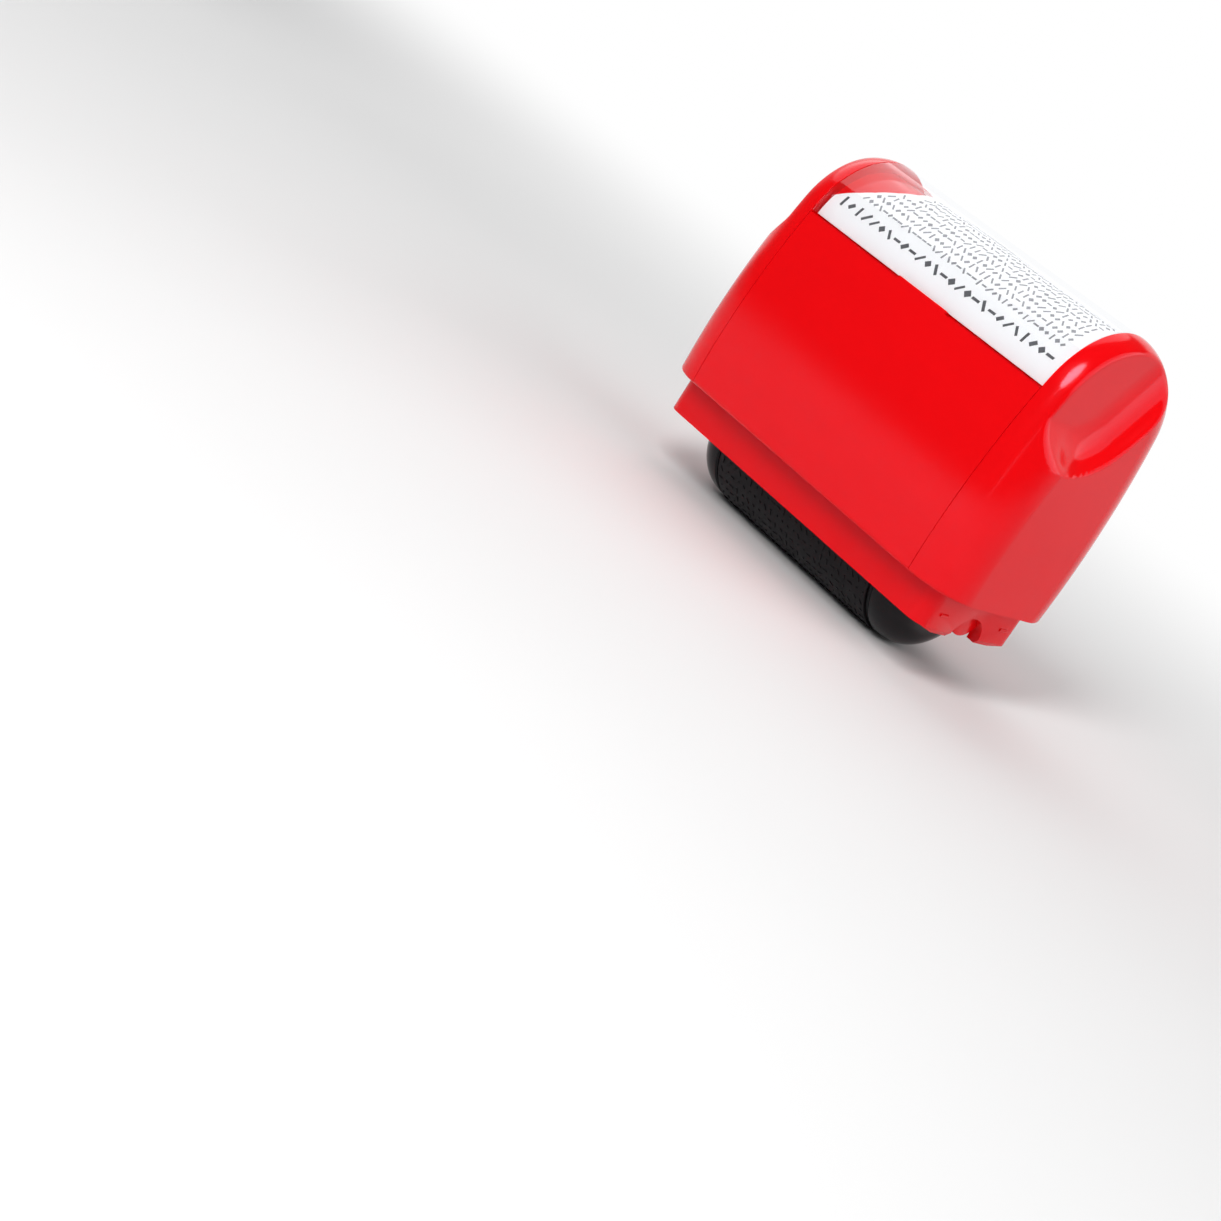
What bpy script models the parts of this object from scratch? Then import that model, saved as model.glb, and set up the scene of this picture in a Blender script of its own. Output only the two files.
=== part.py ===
"""Privacy roller stamp: an arch-topped hand housing over a removable roller unit.

The part stands upright. +X runs along the roller, -Y is the front and +Z is up. The origin is
under the middle of the roller, on the surface that the roller stands on. Lengths are in metres.
"""

import math
from dataclasses import dataclass

import bmesh
import bpy

# Printing roller, about its own axis
ROLLER_RADIUS = 0.0120
SLEEVE_WALL = 0.0014
SLEEVE_HALF_LENGTH = 0.0193
CAP_LENGTH = 0.0063
CAP_STEP = 0.0003
CAP_ROUND = 0.0054
CAP_SPIGOT = 0.0012
SEAL_THICKNESS = 0.0008
FOAM_THICKNESS = 0.0035
CORE_BORE_RADIUS = 0.0021
CORE_IN_CAP = 0.0019
PLUG_RADIUS = 0.0010
PLUG_HEAD_RADIUS = 0.0016
PLUG_HEAD_THICKNESS = 0.0008
PLUG_HEAD_REACH = 0.0048
PLUG_SHANK = 0.0040

# Axle and its bearings
AXLE_RADIUS = 0.0015
AXLE_CHAMFER = 0.0003
BUSH_WALL = 0.0014
BUSH_FLANGE_THICKNESS = 0.0008
BUSH_FLANGE_RIM = 0.0012
BUSH_LENGTH = 0.0040
WASHER_THICKNESS = 0.0005
WASHER_RIM = 0.0019

# Roller frame, about the axle
FRAME_WALL = 0.0016
FRAME_END_WALL = 0.0022
FRAME_CORNER = 0.0030
TOP_PLATE = 0.0020
ROLLER_SIDE_GAP = 0.0004
ROLLER_TOP_GAP = 0.0010
SKIRT_SHOWN = 0.0065
LEG_DROP = 0.0009
LEG_SLOPE_START = 0.0126
LEG_SLOPE_END = 0.0085
LEG_CHAMFER = 0.0006
NOTCH_HALF_WIDTH = 0.0043
BOSS_WALL = 0.0020
BOSS_LENGTH = 0.0025
JAW_HALF_WIDTH = 0.00125
BOSS_RIB_HALF_WIDTH = 0.0010
DETENT_REACH = 0.0090
DETENT_DROP = 0.0038
DETENT_LENGTH = 0.0020
DETENT_RADIUS = 0.0003
SNAP_ARM_HALF_WIDTH = 0.0030
SNAP_ARM_THICKNESS = 0.0014
SNAP_ARM_HEIGHT = 0.0070
SNAP_NOSE_RADIUS = 0.0008
PLATE_RIB_REACH = 0.0060
PLATE_RIB_WIDTH = 0.0012
PLATE_RIB_HEIGHT = 0.0030
PLATE_RIB_INSET = 0.0045

# Housing, about the middle of its bottom edge
AXLE_TO_SHELL = 0.0035
SHELL_WALL = 0.0026
SHELL_SIDE_GAP = 0.0010
SHELL_END_GAP = 0.0006
SHELL_HEIGHT = 0.0478
SHELL_TOP_RADIUS = 0.0153
SHELL_SIDE_RADIUS = 0.1130
SHELL_LIP_ROUND = 0.0005
ROOF_THICKNESS = 0.0040
CAVITY_FILLET = 0.0045
GUIDE_RIB_REACH = 0.0200
GUIDE_RIB_WIDTH = 0.0016
GUIDE_RIB_START = 0.0012
WEB_REACH = 0.0140
WEB_THICKNESS = 0.0016
WEB_HEIGHT = 0.0100

# Thumb scoop in each end of the housing
SCOOP_RADIUS = 0.0141
SCOOP_FORWARD = 0.0090
SCOOP_CENTRE_HEIGHT = 0.0385
SCOOP_DEPTH = 0.00415
SCOOP_SLOPE = 0.0075
SCOOP_EASE_POWER = 3.0
SCOOP_FLARE_RADIUS = 0.0050
SCOOP_FLARE_TURN = math.radians(-15.0)
SCOOP_OPEN_HEADING = math.radians(50.0)

# Window, label and side panels
WINDOW_END_MARGIN = 0.0081
WINDOW_IN_FILLET = 0.0005
WINDOW_EDGE_HEIGHT = 0.0346
COVER_THICKNESS = 0.0012
CARD_THICKNESS = 0.00025
CARD_MARGIN = 0.0008
PANEL_THICKNESS = 0.0009
PRY_HALF_WIDTH = 0.0057
PRY_RISE = 0.00035

# Clearances
SEAT_GAP = 0.0003
FACE_GAP = 0.0001
RUNNING_GAP = 0.00008
END_FLOAT = 0.00015
FIT_GAP = 0.00015
BED_GAP = 0.00025
SEAM_GAP = 0.0002
OVERRUN = 0.0030

# Facets of the round shapes
TOP_STEPS = 12
SIDE_STEPS = 4
FILLET_STEPS = 6
ROUND_STEPS = 4
SCOOP_STEPS = 6
SCOOP_RIM_STEPS = 24
ROLLER_SIDES = 48
BEARING_SIDES = 32
SMOOTH_ANGLE = math.radians(28.0)

# Lengths that follow from the ones above, from the roller outwards
SLEEVE_BORE_RADIUS = ROLLER_RADIUS - SLEEVE_WALL
SPIGOT_RADIUS = SLEEVE_BORE_RADIUS - SEAT_GAP
CORE_RADIUS = SPIGOT_RADIUS - FOAM_THICKNESS - SEAT_GAP
CAP_RADIUS = ROLLER_RADIUS - CAP_STEP
CAP_SHOULDER = SLEEVE_HALF_LENGTH + SEAL_THICKNESS
ROLLER_HALF_LENGTH = CAP_SHOULDER + CAP_LENGTH
SPIGOT_END = SLEEVE_HALF_LENGTH - CAP_SPIGOT
CORE_HALF_LENGTH = CAP_SHOULDER + CORE_IN_CAP
BEARING_BORE_RADIUS = AXLE_RADIUS + RUNNING_GAP
BUSH_RADIUS = BEARING_BORE_RADIUS + BUSH_WALL
PLUG_RING_RADIUS = SPIGOT_RADIUS - PLUG_HEAD_RADIUS - SEAT_GAP
BUSH_FLANGE_START = ROLLER_HALF_LENGTH + FACE_GAP
BUSH_FLANGE_END = BUSH_FLANGE_START + BUSH_FLANGE_THICKNESS
WASHER_START = BUSH_FLANGE_END + END_FLOAT
BOSS_FACE = WASHER_START + WASHER_THICKNESS + END_FLOAT
FRAME_INNER_HALF_LENGTH = BOSS_FACE + BOSS_LENGTH
FRAME_HALF_LENGTH = FRAME_INNER_HALF_LENGTH + FRAME_END_WALL
FRAME_INNER_HALF_DEPTH = ROLLER_RADIUS + ROLLER_SIDE_GAP
FRAME_HALF_DEPTH = FRAME_INNER_HALF_DEPTH + FRAME_WALL
PLATE_UNDERSIDE = ROLLER_RADIUS + ROLLER_TOP_GAP
PLATE_TOP = PLATE_UNDERSIDE + TOP_PLATE
SKIRT_FOOT = AXLE_TO_SHELL - SKIRT_SHOWN
LEG_FOOT = SKIRT_FOOT - LEG_DROP
BOSS_RADIUS = AXLE_RADIUS + FACE_GAP + BOSS_WALL
CAVITY_HALF_LENGTH = FRAME_HALF_LENGTH + SHELL_END_GAP
CAVITY_HALF_DEPTH = FRAME_HALF_DEPTH + SHELL_SIDE_GAP
SHELL_HALF_LENGTH = CAVITY_HALF_LENGTH + SHELL_WALL
SHELL_HALF_DEPTH = CAVITY_HALF_DEPTH + SHELL_WALL
SHELL_BASE = ROLLER_RADIUS + AXLE_TO_SHELL
SHELL_END_FILLET = WINDOW_END_MARGIN + WINDOW_IN_FILLET
WINDOW_HALF_LENGTH = SHELL_HALF_LENGTH - WINDOW_END_MARGIN
WEB_FOOT = PLATE_TOP + SEAT_GAP - AXLE_TO_SHELL
CARD_TOP_INSET = COVER_THICKNESS + BED_GAP
CARD_FOOT_INSET = CARD_TOP_INSET + CARD_THICKNESS
WINDOW_RECESS = CARD_FOOT_INSET + BED_GAP
PANEL_RECESS = PANEL_THICKNESS + SEAT_GAP


@dataclass(frozen=True)
class Arch:
    """Upright arch section: two side arcs that meet a round top in one tangent."""

    half_depth: float
    height: float
    top_radius: float
    side_radius: float

    @property
    def top_centre(self):
        """Centre of the round top, as (y, z)."""
        return 0.0, self.height - self.top_radius

    @property
    def side_centre(self):
        """Centre of the +Y side arc: it passes the foot and touches the round top."""
        top_z = self.top_centre[1]
        span = math.hypot(self.half_depth, top_z)
        reach = self.side_radius - self.top_radius
        along = (self.side_radius**2 - reach**2 + span**2) / (2.0 * span)
        across = math.sqrt(self.side_radius**2 - along**2)
        y = self.half_depth - (self.half_depth * along + top_z * across) / span
        z = (top_z * along - self.half_depth * across) / span
        return y, z

    @property
    def tangent_turn(self):
        """Angle of the skin's normal above +Y where side arc and round top meet."""
        side_y, side_z = self.side_centre
        return math.atan2(self.top_centre[1] - side_z, -side_y)

    def turn_at(self, height, inset=0.0):
        """Angle of the normal where the skin, moved in by inset, crosses a height."""
        side_z = self.side_centre[1]
        turn = math.asin((height - side_z) / (self.side_radius - inset))
        if turn <= self.tangent_turn:
            return turn
        return math.asin((height - self.top_centre[1]) / (self.top_radius - inset))

    def moved(self, turn, distance):
        """Angle of the normal a distance further up the skin than another."""
        from_tangent = turn - self.tangent_turn
        along = from_tangent * (self.side_radius if from_tangent < 0.0 else self.top_radius) + distance
        return self.tangent_turn + along / (self.side_radius if along < 0.0 else self.top_radius)

    def point(self, turn, inset=0.0):
        """Point (y, z) of the +Y half whose normal has this angle, moved in by inset."""
        on_side = turn <= self.tangent_turn
        centre = self.side_centre if on_side else self.top_centre
        radius = (self.side_radius if on_side else self.top_radius) - inset
        return centre[0] + radius * math.cos(turn), centre[1] + radius * math.sin(turn)

    def turns(self, first, last):
        """Angles from first to last, with the tangent angle among them if it lies between."""
        middle = min(max(self.tangent_turn, first), last)
        angles = steps_between(first, middle, SIDE_STEPS) if middle > first else [first]
        if last > middle:
            angles += steps_between(middle, last, TOP_STEPS)[1:]
        return angles

    def half(self, inset, foot, lip):
        """+Y half of the outline from its foot to the top, with a rounded lip at the foot."""
        start = self.point(self.turn_at(foot + lip, inset), inset)
        points = []
        if lip:
            for turn in steps_between(0.0, math.pi / 2, ROUND_STEPS)[:-1]:
                points.append((start[0] - lip * (1 - math.sin(turn)), foot + lip * (1 - math.cos(turn))))
        points += [self.point(t, inset) for t in self.turns(self.turn_at(foot + lip, inset), math.pi / 2)]
        return points

    def outline(self, inset, foot, lip=0.0):
        """Whole closed outline, from the front foot over the top to the rear foot."""
        half = self.half(inset, foot, lip)
        return [(-y, z) for y, z in half] + half[-2::-1]

    def band(self, first, last, outer_inset, inner_inset):
        """Closed outline of a strip of the +Y half between two angles and two insets."""
        angles = self.turns(first, last)
        outer = [self.point(turn, outer_inset) for turn in angles]
        return outer + [self.point(turn, inner_inset) for turn in angles[::-1]]


def steps_between(first, last, steps):
    """Evenly spaced values from first to last, both included."""
    return [first + (last - first) * i / steps for i in range(steps + 1)]


SHELL_ARCH = Arch(SHELL_HALF_DEPTH, SHELL_HEIGHT, SHELL_TOP_RADIUS, SHELL_SIDE_RADIUS)
CAVITY_ARCH = Arch(
    CAVITY_HALF_DEPTH,
    SHELL_HEIGHT - ROOF_THICKNESS,
    SHELL_TOP_RADIUS - SHELL_WALL,
    SHELL_SIDE_RADIUS - SHELL_WALL,
)


def clear_scene():
    """Remove every object that the file starts with."""
    for item in list(bpy.data.objects):
        bpy.data.objects.remove(item, do_unlink=True)


def plastic(name, colour, roughness, metallic=0.0, alpha=1.0):
    """Make a Principled material."""
    made = bpy.data.materials.new(name)
    made.use_nodes = True
    shader = made.node_tree.nodes["Principled BSDF"]
    shader.inputs["Base Color"].default_value = (*colour, 1.0)
    shader.inputs["Roughness"].default_value = roughness
    shader.inputs["Metallic"].default_value = metallic
    shader.inputs["Alpha"].default_value = alpha
    return made


def solid(name, built):
    """Turn a bmesh into an object with its faces pointing out."""
    bmesh.ops.recalc_face_normals(built, faces=built.faces[:])
    mesh = bpy.data.meshes.new(name)
    built.to_mesh(mesh)
    built.free()
    made = bpy.data.objects.new(name, mesh)
    bpy.context.scene.collection.objects.link(made)
    return made


def on_axis(axis, along, across):
    """Point whose place along one axis and across the other two is given."""
    if axis == "X":
        return along, across[0], across[1]
    if axis == "Y":
        return across[0], along, across[1]
    return across[0], across[1], along


def prism(name, outline, axis, start, end):
    """Closed outline extruded along an axis from start to end."""
    built = bmesh.new()
    corners = [built.verts.new(on_axis(axis, start, point)) for point in outline]
    face = built.faces.new(corners)
    made = bmesh.ops.extrude_face_region(built, geom=[face])
    moved = [item for item in made["geom"] if isinstance(item, bmesh.types.BMVert)]
    bmesh.ops.translate(built, verts=moved, vec=on_axis(axis, end - start, (0.0, 0.0)))
    return solid(name, built)


def block(name, low, high):
    """Box between two corners."""
    outline = [(low[0], low[1]), (high[0], low[1]), (high[0], high[1]), (low[0], high[1])]
    return prism(name, outline, "Z", low[2], high[2])


def circle(radius, sides, centre=(0.0, 0.0)):
    """Points round a circle, with flats facing along the two axes."""
    turns = [math.tau * (i + 0.5) / sides for i in range(sides)]
    return [(centre[0] + radius * math.cos(t), centre[1] + radius * math.sin(t)) for t in turns]


def loft(name, rings):
    """Skin stretched over rings of equal point counts, closed at both ends."""
    built = bmesh.new()
    rows = [[built.verts.new(point) for point in ring] for ring in rings]
    for row, following in zip(rows, rows[1:]):
        for i in range(len(row)):
            j = (i + 1) % len(row)
            built.faces.new((row[i], row[j], following[j], following[i]))
    built.faces.new(rows[0])
    built.faces.new(rows[-1])
    return solid(name, built)


def turned(name, profile, sides):
    """Closed (x, radius) profile spun once round the X axis."""
    built = bmesh.new()
    corners = [built.verts.new((x, 0.0, radius)) for x, radius in profile]
    edges = [built.edges.new((a, b)) for a, b in zip(corners, corners[1:] + corners[:1])]
    bmesh.ops.spin(
        built,
        geom=corners + edges,
        cent=(0.0, 0.0, 0.0),
        axis=(1.0, 0.0, 0.0),
        angle=math.tau,
        steps=sides,
        use_merge=True,
    )
    return solid(name, built)


def combine(target, tools, operation):
    """Apply one Boolean for each tool and use the tools up."""
    for tool in tools:
        modifier = target.modifiers.new(operation.lower(), "BOOLEAN")
        modifier.operation = operation
        modifier.object = tool
        graph = bpy.context.evaluated_depsgraph_get()
        mesh = bpy.data.meshes.new_from_object(target.evaluated_get(graph))
        target.modifiers.clear()
        target.data = mesh
        bpy.data.objects.remove(tool, do_unlink=True)
    return target


def cut(target, *tools):
    """Take the tools' shapes out of the target."""
    return combine(target, tools, "DIFFERENCE")


def join(target, *tools):
    """Grow the tools' shapes onto the target."""
    return combine(target, tools, "UNION")


def place(made, name, material, parent):
    """Name a finished piece, give it its material and hang it on its frame."""
    made.name = name
    made.data.name = name
    made.data.materials.clear()
    made.data.materials.append(material)
    made.data.shade_smooth()
    made.data.set_sharp_from_angle(angle=SMOOTH_ANGLE)
    made.parent = parent
    return made


def frame_empty(name, location, parent=None):
    """Empty that carries one body's pieces, on that body's joint axis."""
    made = bpy.data.objects.new(name, None)
    made.location = location
    made.parent = parent
    bpy.context.scene.collection.objects.link(made)
    return made


def mirrored(points, side):
    """Profile or outline with its first coordinate turned to one side."""
    return [(side * first, second) for first, second in points]


def rounded_block(name, arch, half_length, fillet, foot, lip=0.0):
    """Arch carried along X whose section draws in round a fillet at both ends."""
    rings = []
    turns = steps_between(0.0, math.pi / 2, FILLET_STEPS)
    stations = [(-1.0, turn) for turn in turns[::-1]] + [(1.0, turn) for turn in turns]
    for side, turn in stations:
        x = side * (half_length - fillet * (1 - math.sin(turn)))
        outline = arch.outline(fillet * (1 - math.cos(turn)), foot, lip)
        rings.append([(x, y, z) for y, z in outline])
    return loft(name, rings)


def scoop_rim():
    """Rim of a thumb scoop as points (y, z), each with its direction into the scoop.

    The rim runs from the front round the bottom of a circle, flares out and leaves the housing
    at the rear in a straight line. The last two points close it above the housing.
    """
    centre = (-SCOOP_FORWARD, SCOOP_CENTRE_HEIGHT)
    flare_reach = SCOOP_RADIUS + SCOOP_FLARE_RADIUS
    flare_centre = (
        centre[0] + flare_reach * math.cos(SCOOP_FLARE_TURN),
        centre[1] + flare_reach * math.sin(SCOOP_FLARE_TURN),
    )
    open_turn = SCOOP_OPEN_HEADING - math.pi / 2
    rim = []
    for turn in steps_between(-math.pi, SCOOP_FLARE_TURN, SCOOP_RIM_STEPS):
        inward = (-math.cos(turn), -math.sin(turn))
        rim.append((centre[0] - SCOOP_RADIUS * inward[0], centre[1] - SCOOP_RADIUS * inward[1], inward))
    for turn in steps_between(SCOOP_FLARE_TURN, open_turn, ROUND_STEPS)[1:]:
        inward = (-math.cos(turn), -math.sin(turn))
        y = flare_centre[0] + SCOOP_FLARE_RADIUS * inward[0]
        z = flare_centre[1] + SCOOP_FLARE_RADIUS * inward[1]
        rim.append((y, z, inward))
    y, z, inward = rim[-1]
    end_y = y + SHELL_HALF_DEPTH * math.cos(SCOOP_OPEN_HEADING)
    end_z = z + SHELL_HALF_DEPTH * math.sin(SCOOP_OPEN_HEADING)
    rim.append((end_y, end_z, inward))
    above = SHELL_HEIGHT + SCOOP_RADIUS
    return rim + [(y, above, (0.0, 0.0)) for y in (SHELL_HALF_DEPTH, -SHELL_HALF_DEPTH - SCOOP_RADIUS)]


def scoop(side, growth=0.0):
    """Tool for the thumb scoop of one end: a steep wall that eases into a flat floor.

    growth moves the whole form into the housing, for the wall behind it.
    """
    rim = scoop_rim()
    face = SHELL_HALF_LENGTH - growth

    def ring(x, share):
        shift = SCOOP_SLOPE * share**SCOOP_EASE_POWER - growth
        return [(side * x, y + shift * inward[0], z + shift * inward[1]) for y, z, inward in rim]

    outside = ring(SHELL_HALF_LENGTH + OVERRUN, 0.0)
    inside = [ring(face - SCOOP_DEPTH * share, share) for share in steps_between(0.0, 1.0, SCOOP_STEPS)]
    return loft("scoop_tool", [outside] + inside)


def strip(name, side, first, last, insets, half_length):
    """Strip of the housing's skin on the front (side -1) or rear, along X."""
    outline = mirrored(SHELL_ARCH.band(first, last, insets[0], insets[1]), side)
    return prism(name, outline, "X", -half_length, half_length)


def saddle(name, first, insets, half_length):
    """Strip over the top, from one angle on the front to the same angle at the rear."""
    rear = SHELL_ARCH.turns(first, math.pi / 2)
    outer = [SHELL_ARCH.point(turn, insets[0]) for turn in rear]
    inner = [SHELL_ARCH.point(turn, insets[1]) for turn in rear]
    outline = outer + mirrored(outer[-2::-1], -1) + mirrored(inner, -1) + inner[-2::-1]
    return prism(name, outline, "X", -half_length, half_length)


def mould_core():
    """Inside of the housing, with slots where its ribs and the walls behind the scoops stay."""
    core = rounded_block("core", CAVITY_ARCH, CAVITY_HALF_LENGTH, CAVITY_FILLET, -OVERRUN)
    web_top = WEB_FOOT + WEB_HEIGHT
    rib_face = FRAME_HALF_DEPTH + SEAT_GAP
    far = SHELL_HALF_DEPTH + OVERRUN
    for side in (-1, 1):
        web = side * WEB_REACH
        low = (web - WEB_THICKNESS / 2, -far, WEB_FOOT)
        high = (web + WEB_THICKNESS / 2, far, web_top)
        cut(core, block("web_slot", low, high))
        for face in (-1, 1):
            rib = side * GUIDE_RIB_REACH
            ends = sorted((face * rib_face, face * far))
            low = (rib - GUIDE_RIB_WIDTH / 2, ends[0], GUIDE_RIB_START)
            high = (rib + GUIDE_RIB_WIDTH / 2, ends[1], WEB_FOOT)
            cut(core, block("rib_slot", low, high))
        cut(core, scoop(side, SHELL_WALL))
    return core


def make_outer_shell(material, parent):
    """Housing: rounded arch, hollow below, with recesses for window and panels and two scoops."""
    shell = rounded_block(
        "shell", SHELL_ARCH, SHELL_HALF_LENGTH, SHELL_END_FILLET, 0.0, SHELL_LIP_ROUND
    )
    cut(shell, mould_core())
    edge = SHELL_ARCH.turn_at(WINDOW_EDGE_HEIGHT)
    foot = SHELL_ARCH.turn_at(-OVERRUN)
    in_window = SHELL_ARCH.moved(edge, SEAM_GAP)
    for side in (-1, 1):
        insets = (-OVERRUN, PANEL_RECESS)
        cut(shell, strip("panel_recess", side, foot, in_window, insets, WINDOW_HALF_LENGTH))
    cut(shell, saddle("window_recess", edge, (-OVERRUN, WINDOW_RECESS), WINDOW_HALF_LENGTH))
    cut(shell, scoop(-1), scoop(1))
    return place(shell, "outer_shell", material, parent)


def pry_tab(grown):
    """Low tab on the front panel's upper edge, or with grown the relief for it in the cover."""
    edge = SHELL_ARCH.turn_at(WINDOW_EDGE_HEIGHT)
    first = SHELL_ARCH.moved(edge, -PRY_RISE)
    last = SHELL_ARCH.moved(edge, PRY_RISE + grown)
    insets = (-OVERRUN, COVER_THICKNESS + OVERRUN) if grown else (0.0, PANEL_THICKNESS)
    return strip("pry_tab", -1, first, last, insets, PRY_HALF_WIDTH + grown)


def make_panel(name, side, material, parent):
    """Side panel from the housing's bottom edge up to the window's edge."""
    start = SHELL_ARCH.turn_at(SHELL_LIP_ROUND)
    edge = SHELL_ARCH.turn_at(WINDOW_EDGE_HEIGHT)
    half_length = WINDOW_HALF_LENGTH - SEAM_GAP
    last = SHELL_ARCH.moved(edge, -SEAM_GAP)
    outer = [SHELL_ARCH.point(turn) for turn in SHELL_ARCH.turns(start, last)]
    inner = [SHELL_ARCH.point(turn, PANEL_THICKNESS) for turn in SHELL_ARCH.turns(start, last)]
    lip = [
        (outer[0][0] - SHELL_LIP_ROUND * (1 - math.sin(t)), SHELL_LIP_ROUND * (1 - math.cos(t)))
        for t in steps_between(0.0, math.pi / 2, ROUND_STEPS)[:-1]
    ]
    foot = [(inner[0][0], 0.0)]
    panel = prism(name, mirrored(foot + lip + outer + inner[::-1], side), "X", -half_length, half_length)
    if side < 0:
        join(panel, pry_tab(0.0))
    return place(panel, name, material, parent)


def make_window_cover(material, parent):
    """Clear cover over the label, relieved at its front edge for the pry tab."""
    first = SHELL_ARCH.moved(SHELL_ARCH.turn_at(WINDOW_EDGE_HEIGHT), SEAM_GAP)
    cover = saddle("cover", first, (0.0, COVER_THICKNESS), WINDOW_HALF_LENGTH - SEAM_GAP)
    cut(cover, pry_tab(SEAM_GAP))
    return place(cover, "window_cover", material, parent)


def make_label_card(material, parent):
    """Thin card that lies in the window's recess under the cover."""
    first = SHELL_ARCH.moved(SHELL_ARCH.turn_at(WINDOW_EDGE_HEIGHT), CARD_MARGIN)
    half_length = WINDOW_HALF_LENGTH - CARD_MARGIN
    card = saddle("card", first, (CARD_TOP_INSET, CARD_FOOT_INSET), half_length)
    return place(card, "label_card", material, parent)


def rounded_rectangle(half_length, half_depth, corner):
    """Outline in X and Y with four round corners."""
    points = []
    for quarter, (side_x, side_y) in enumerate(((1, 1), (-1, 1), (-1, -1), (1, -1))):
        start = quarter * math.pi / 2
        for turn in steps_between(start, start + math.pi / 2, ROUND_STEPS):
            x = side_x * (half_length - corner) + corner * math.cos(turn)
            y = side_y * (half_depth - corner) + corner * math.sin(turn)
            points.append((x, y))
    return points


def frame_box():
    """Open-bottomed box round the roller."""
    outer = rounded_rectangle(FRAME_HALF_LENGTH, FRAME_HALF_DEPTH, FRAME_CORNER)
    body = prism("frame", outer, "Z", LEG_FOOT, PLATE_TOP)
    inner = rounded_rectangle(FRAME_INNER_HALF_LENGTH, FRAME_INNER_HALF_DEPTH, FRAME_CORNER - FRAME_WALL)
    return cut(body, prism("roller_bay", inner, "Z", LEG_FOOT - OVERRUN, PLATE_UNDERSIDE))


def trim_frame_foot(body):
    """Raise the walls' lower edge, and leave two sloped legs with a lead-in on the right end."""
    below = LEG_FOOT - OVERRUN
    legs_start = FRAME_INNER_HALF_LENGTH - SEAT_GAP
    far_x = FRAME_HALF_LENGTH + OVERRUN
    far_y = FRAME_HALF_DEPTH + OVERRUN
    cut(body, block("foot_tool", (-far_x, -far_y, below), (legs_start, far_y, SKIRT_FOOT)))
    for side in (-1, 1):
        slope = [
            (far_y, SKIRT_FOOT),
            (LEG_SLOPE_START, SKIRT_FOOT),
            (LEG_SLOPE_END, LEG_FOOT),
            (LEG_SLOPE_END, below),
            (far_y, below),
        ]
        cut(body, prism("leg_slope", mirrored(slope, side), "X", legs_start - SEAT_GAP, far_x))
    drop = LEG_FOOT - below
    lead_in = [
        (FRAME_HALF_LENGTH + drop, SKIRT_FOOT + drop * LEG_DROP / LEG_CHAMFER),
        (FRAME_HALF_LENGTH - LEG_CHAMFER, LEG_FOOT),
        (FRAME_HALF_LENGTH - LEG_CHAMFER, below),
        (FRAME_HALF_LENGTH + drop, below),
    ]
    return cut(body, prism("lead_in", lead_in, "Y", -far_y, far_y))


def add_bearing(body, side):
    """Round boss on one end wall, with a bore and a snap slot open downwards."""
    ends = sorted((side * BOSS_FACE, side * (FRAME_INNER_HALF_LENGTH + FRAME_END_WALL / 2)))
    inner_ends = sorted((side * (BOSS_FACE - OVERRUN), side * FRAME_INNER_HALF_LENGTH))
    boss = prism("boss", circle(BOSS_RADIUS, BEARING_SIDES), "X", *ends)
    rib_low = (ends[0], -BOSS_RIB_HALF_WIDTH, AXLE_RADIUS + BOSS_WALL / 2)
    rib_high = (ends[1], BOSS_RIB_HALF_WIDTH, PLATE_UNDERSIDE + TOP_PLATE / 2)
    bore = prism("bore", circle(AXLE_RADIUS + FACE_GAP, BEARING_SIDES), "X", *inner_ends)
    slot_low = (inner_ends[0], -JAW_HALF_WIDTH, -BOSS_RADIUS - OVERRUN)
    slot_high = (inner_ends[1], JAW_HALF_WIDTH, 0.0)
    wall_low = min(side * FRAME_INNER_HALF_LENGTH, side * (FRAME_HALF_LENGTH + OVERRUN))
    notch_ends = (wall_low, wall_low + FRAME_END_WALL + OVERRUN)
    notch = circle(NOTCH_HALF_WIDTH, BEARING_SIDES, (0.0, LEG_FOOT))
    cut(body, prism("notch", notch, "X", *notch_ends))
    join(body, boss, block("boss_rib", rib_low, rib_high))
    return cut(body, bore, block("jaw_slot", slot_low, slot_high))


def add_detents(body, side):
    """Two low round ridges on one end wall that hold the dust cap."""
    for face in (-1, 1):
        middle = face * DETENT_REACH
        centre = (side * FRAME_HALF_LENGTH, AXLE_TO_SHELL - DETENT_DROP)
        ridge = circle(DETENT_RADIUS, 2 * ROUND_STEPS, centre)
        join(body, prism("detent", ridge, "Y", middle - DETENT_LENGTH / 2, middle + DETENT_LENGTH / 2))
    return body


def add_snap_arm(body, side):
    """Springy upright arm at one end whose nose bears on the housing's end wall."""
    nose_tip = CAVITY_HALF_LENGTH - SEAT_GAP
    outer = nose_tip - SNAP_NOSE_RADIUS
    inner = outer - SNAP_ARM_THICKNESS
    top = PLATE_TOP + SNAP_ARM_HEIGHT
    x_ends = sorted((side * inner, side * outer))
    low = (x_ends[0], -SNAP_ARM_HALF_WIDTH, PLATE_TOP - TOP_PLATE / 2)
    high = (x_ends[1], SNAP_ARM_HALF_WIDTH, top)
    nose = circle(SNAP_NOSE_RADIUS, 2 * ROUND_STEPS, (side * outer, top - 2 * SNAP_NOSE_RADIUS))
    arm = block("arm", low, high)
    join(arm, prism("nose", nose, "Y", low[1] + SEAT_GAP, high[1] - SEAT_GAP))
    return join(body, arm)


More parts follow.
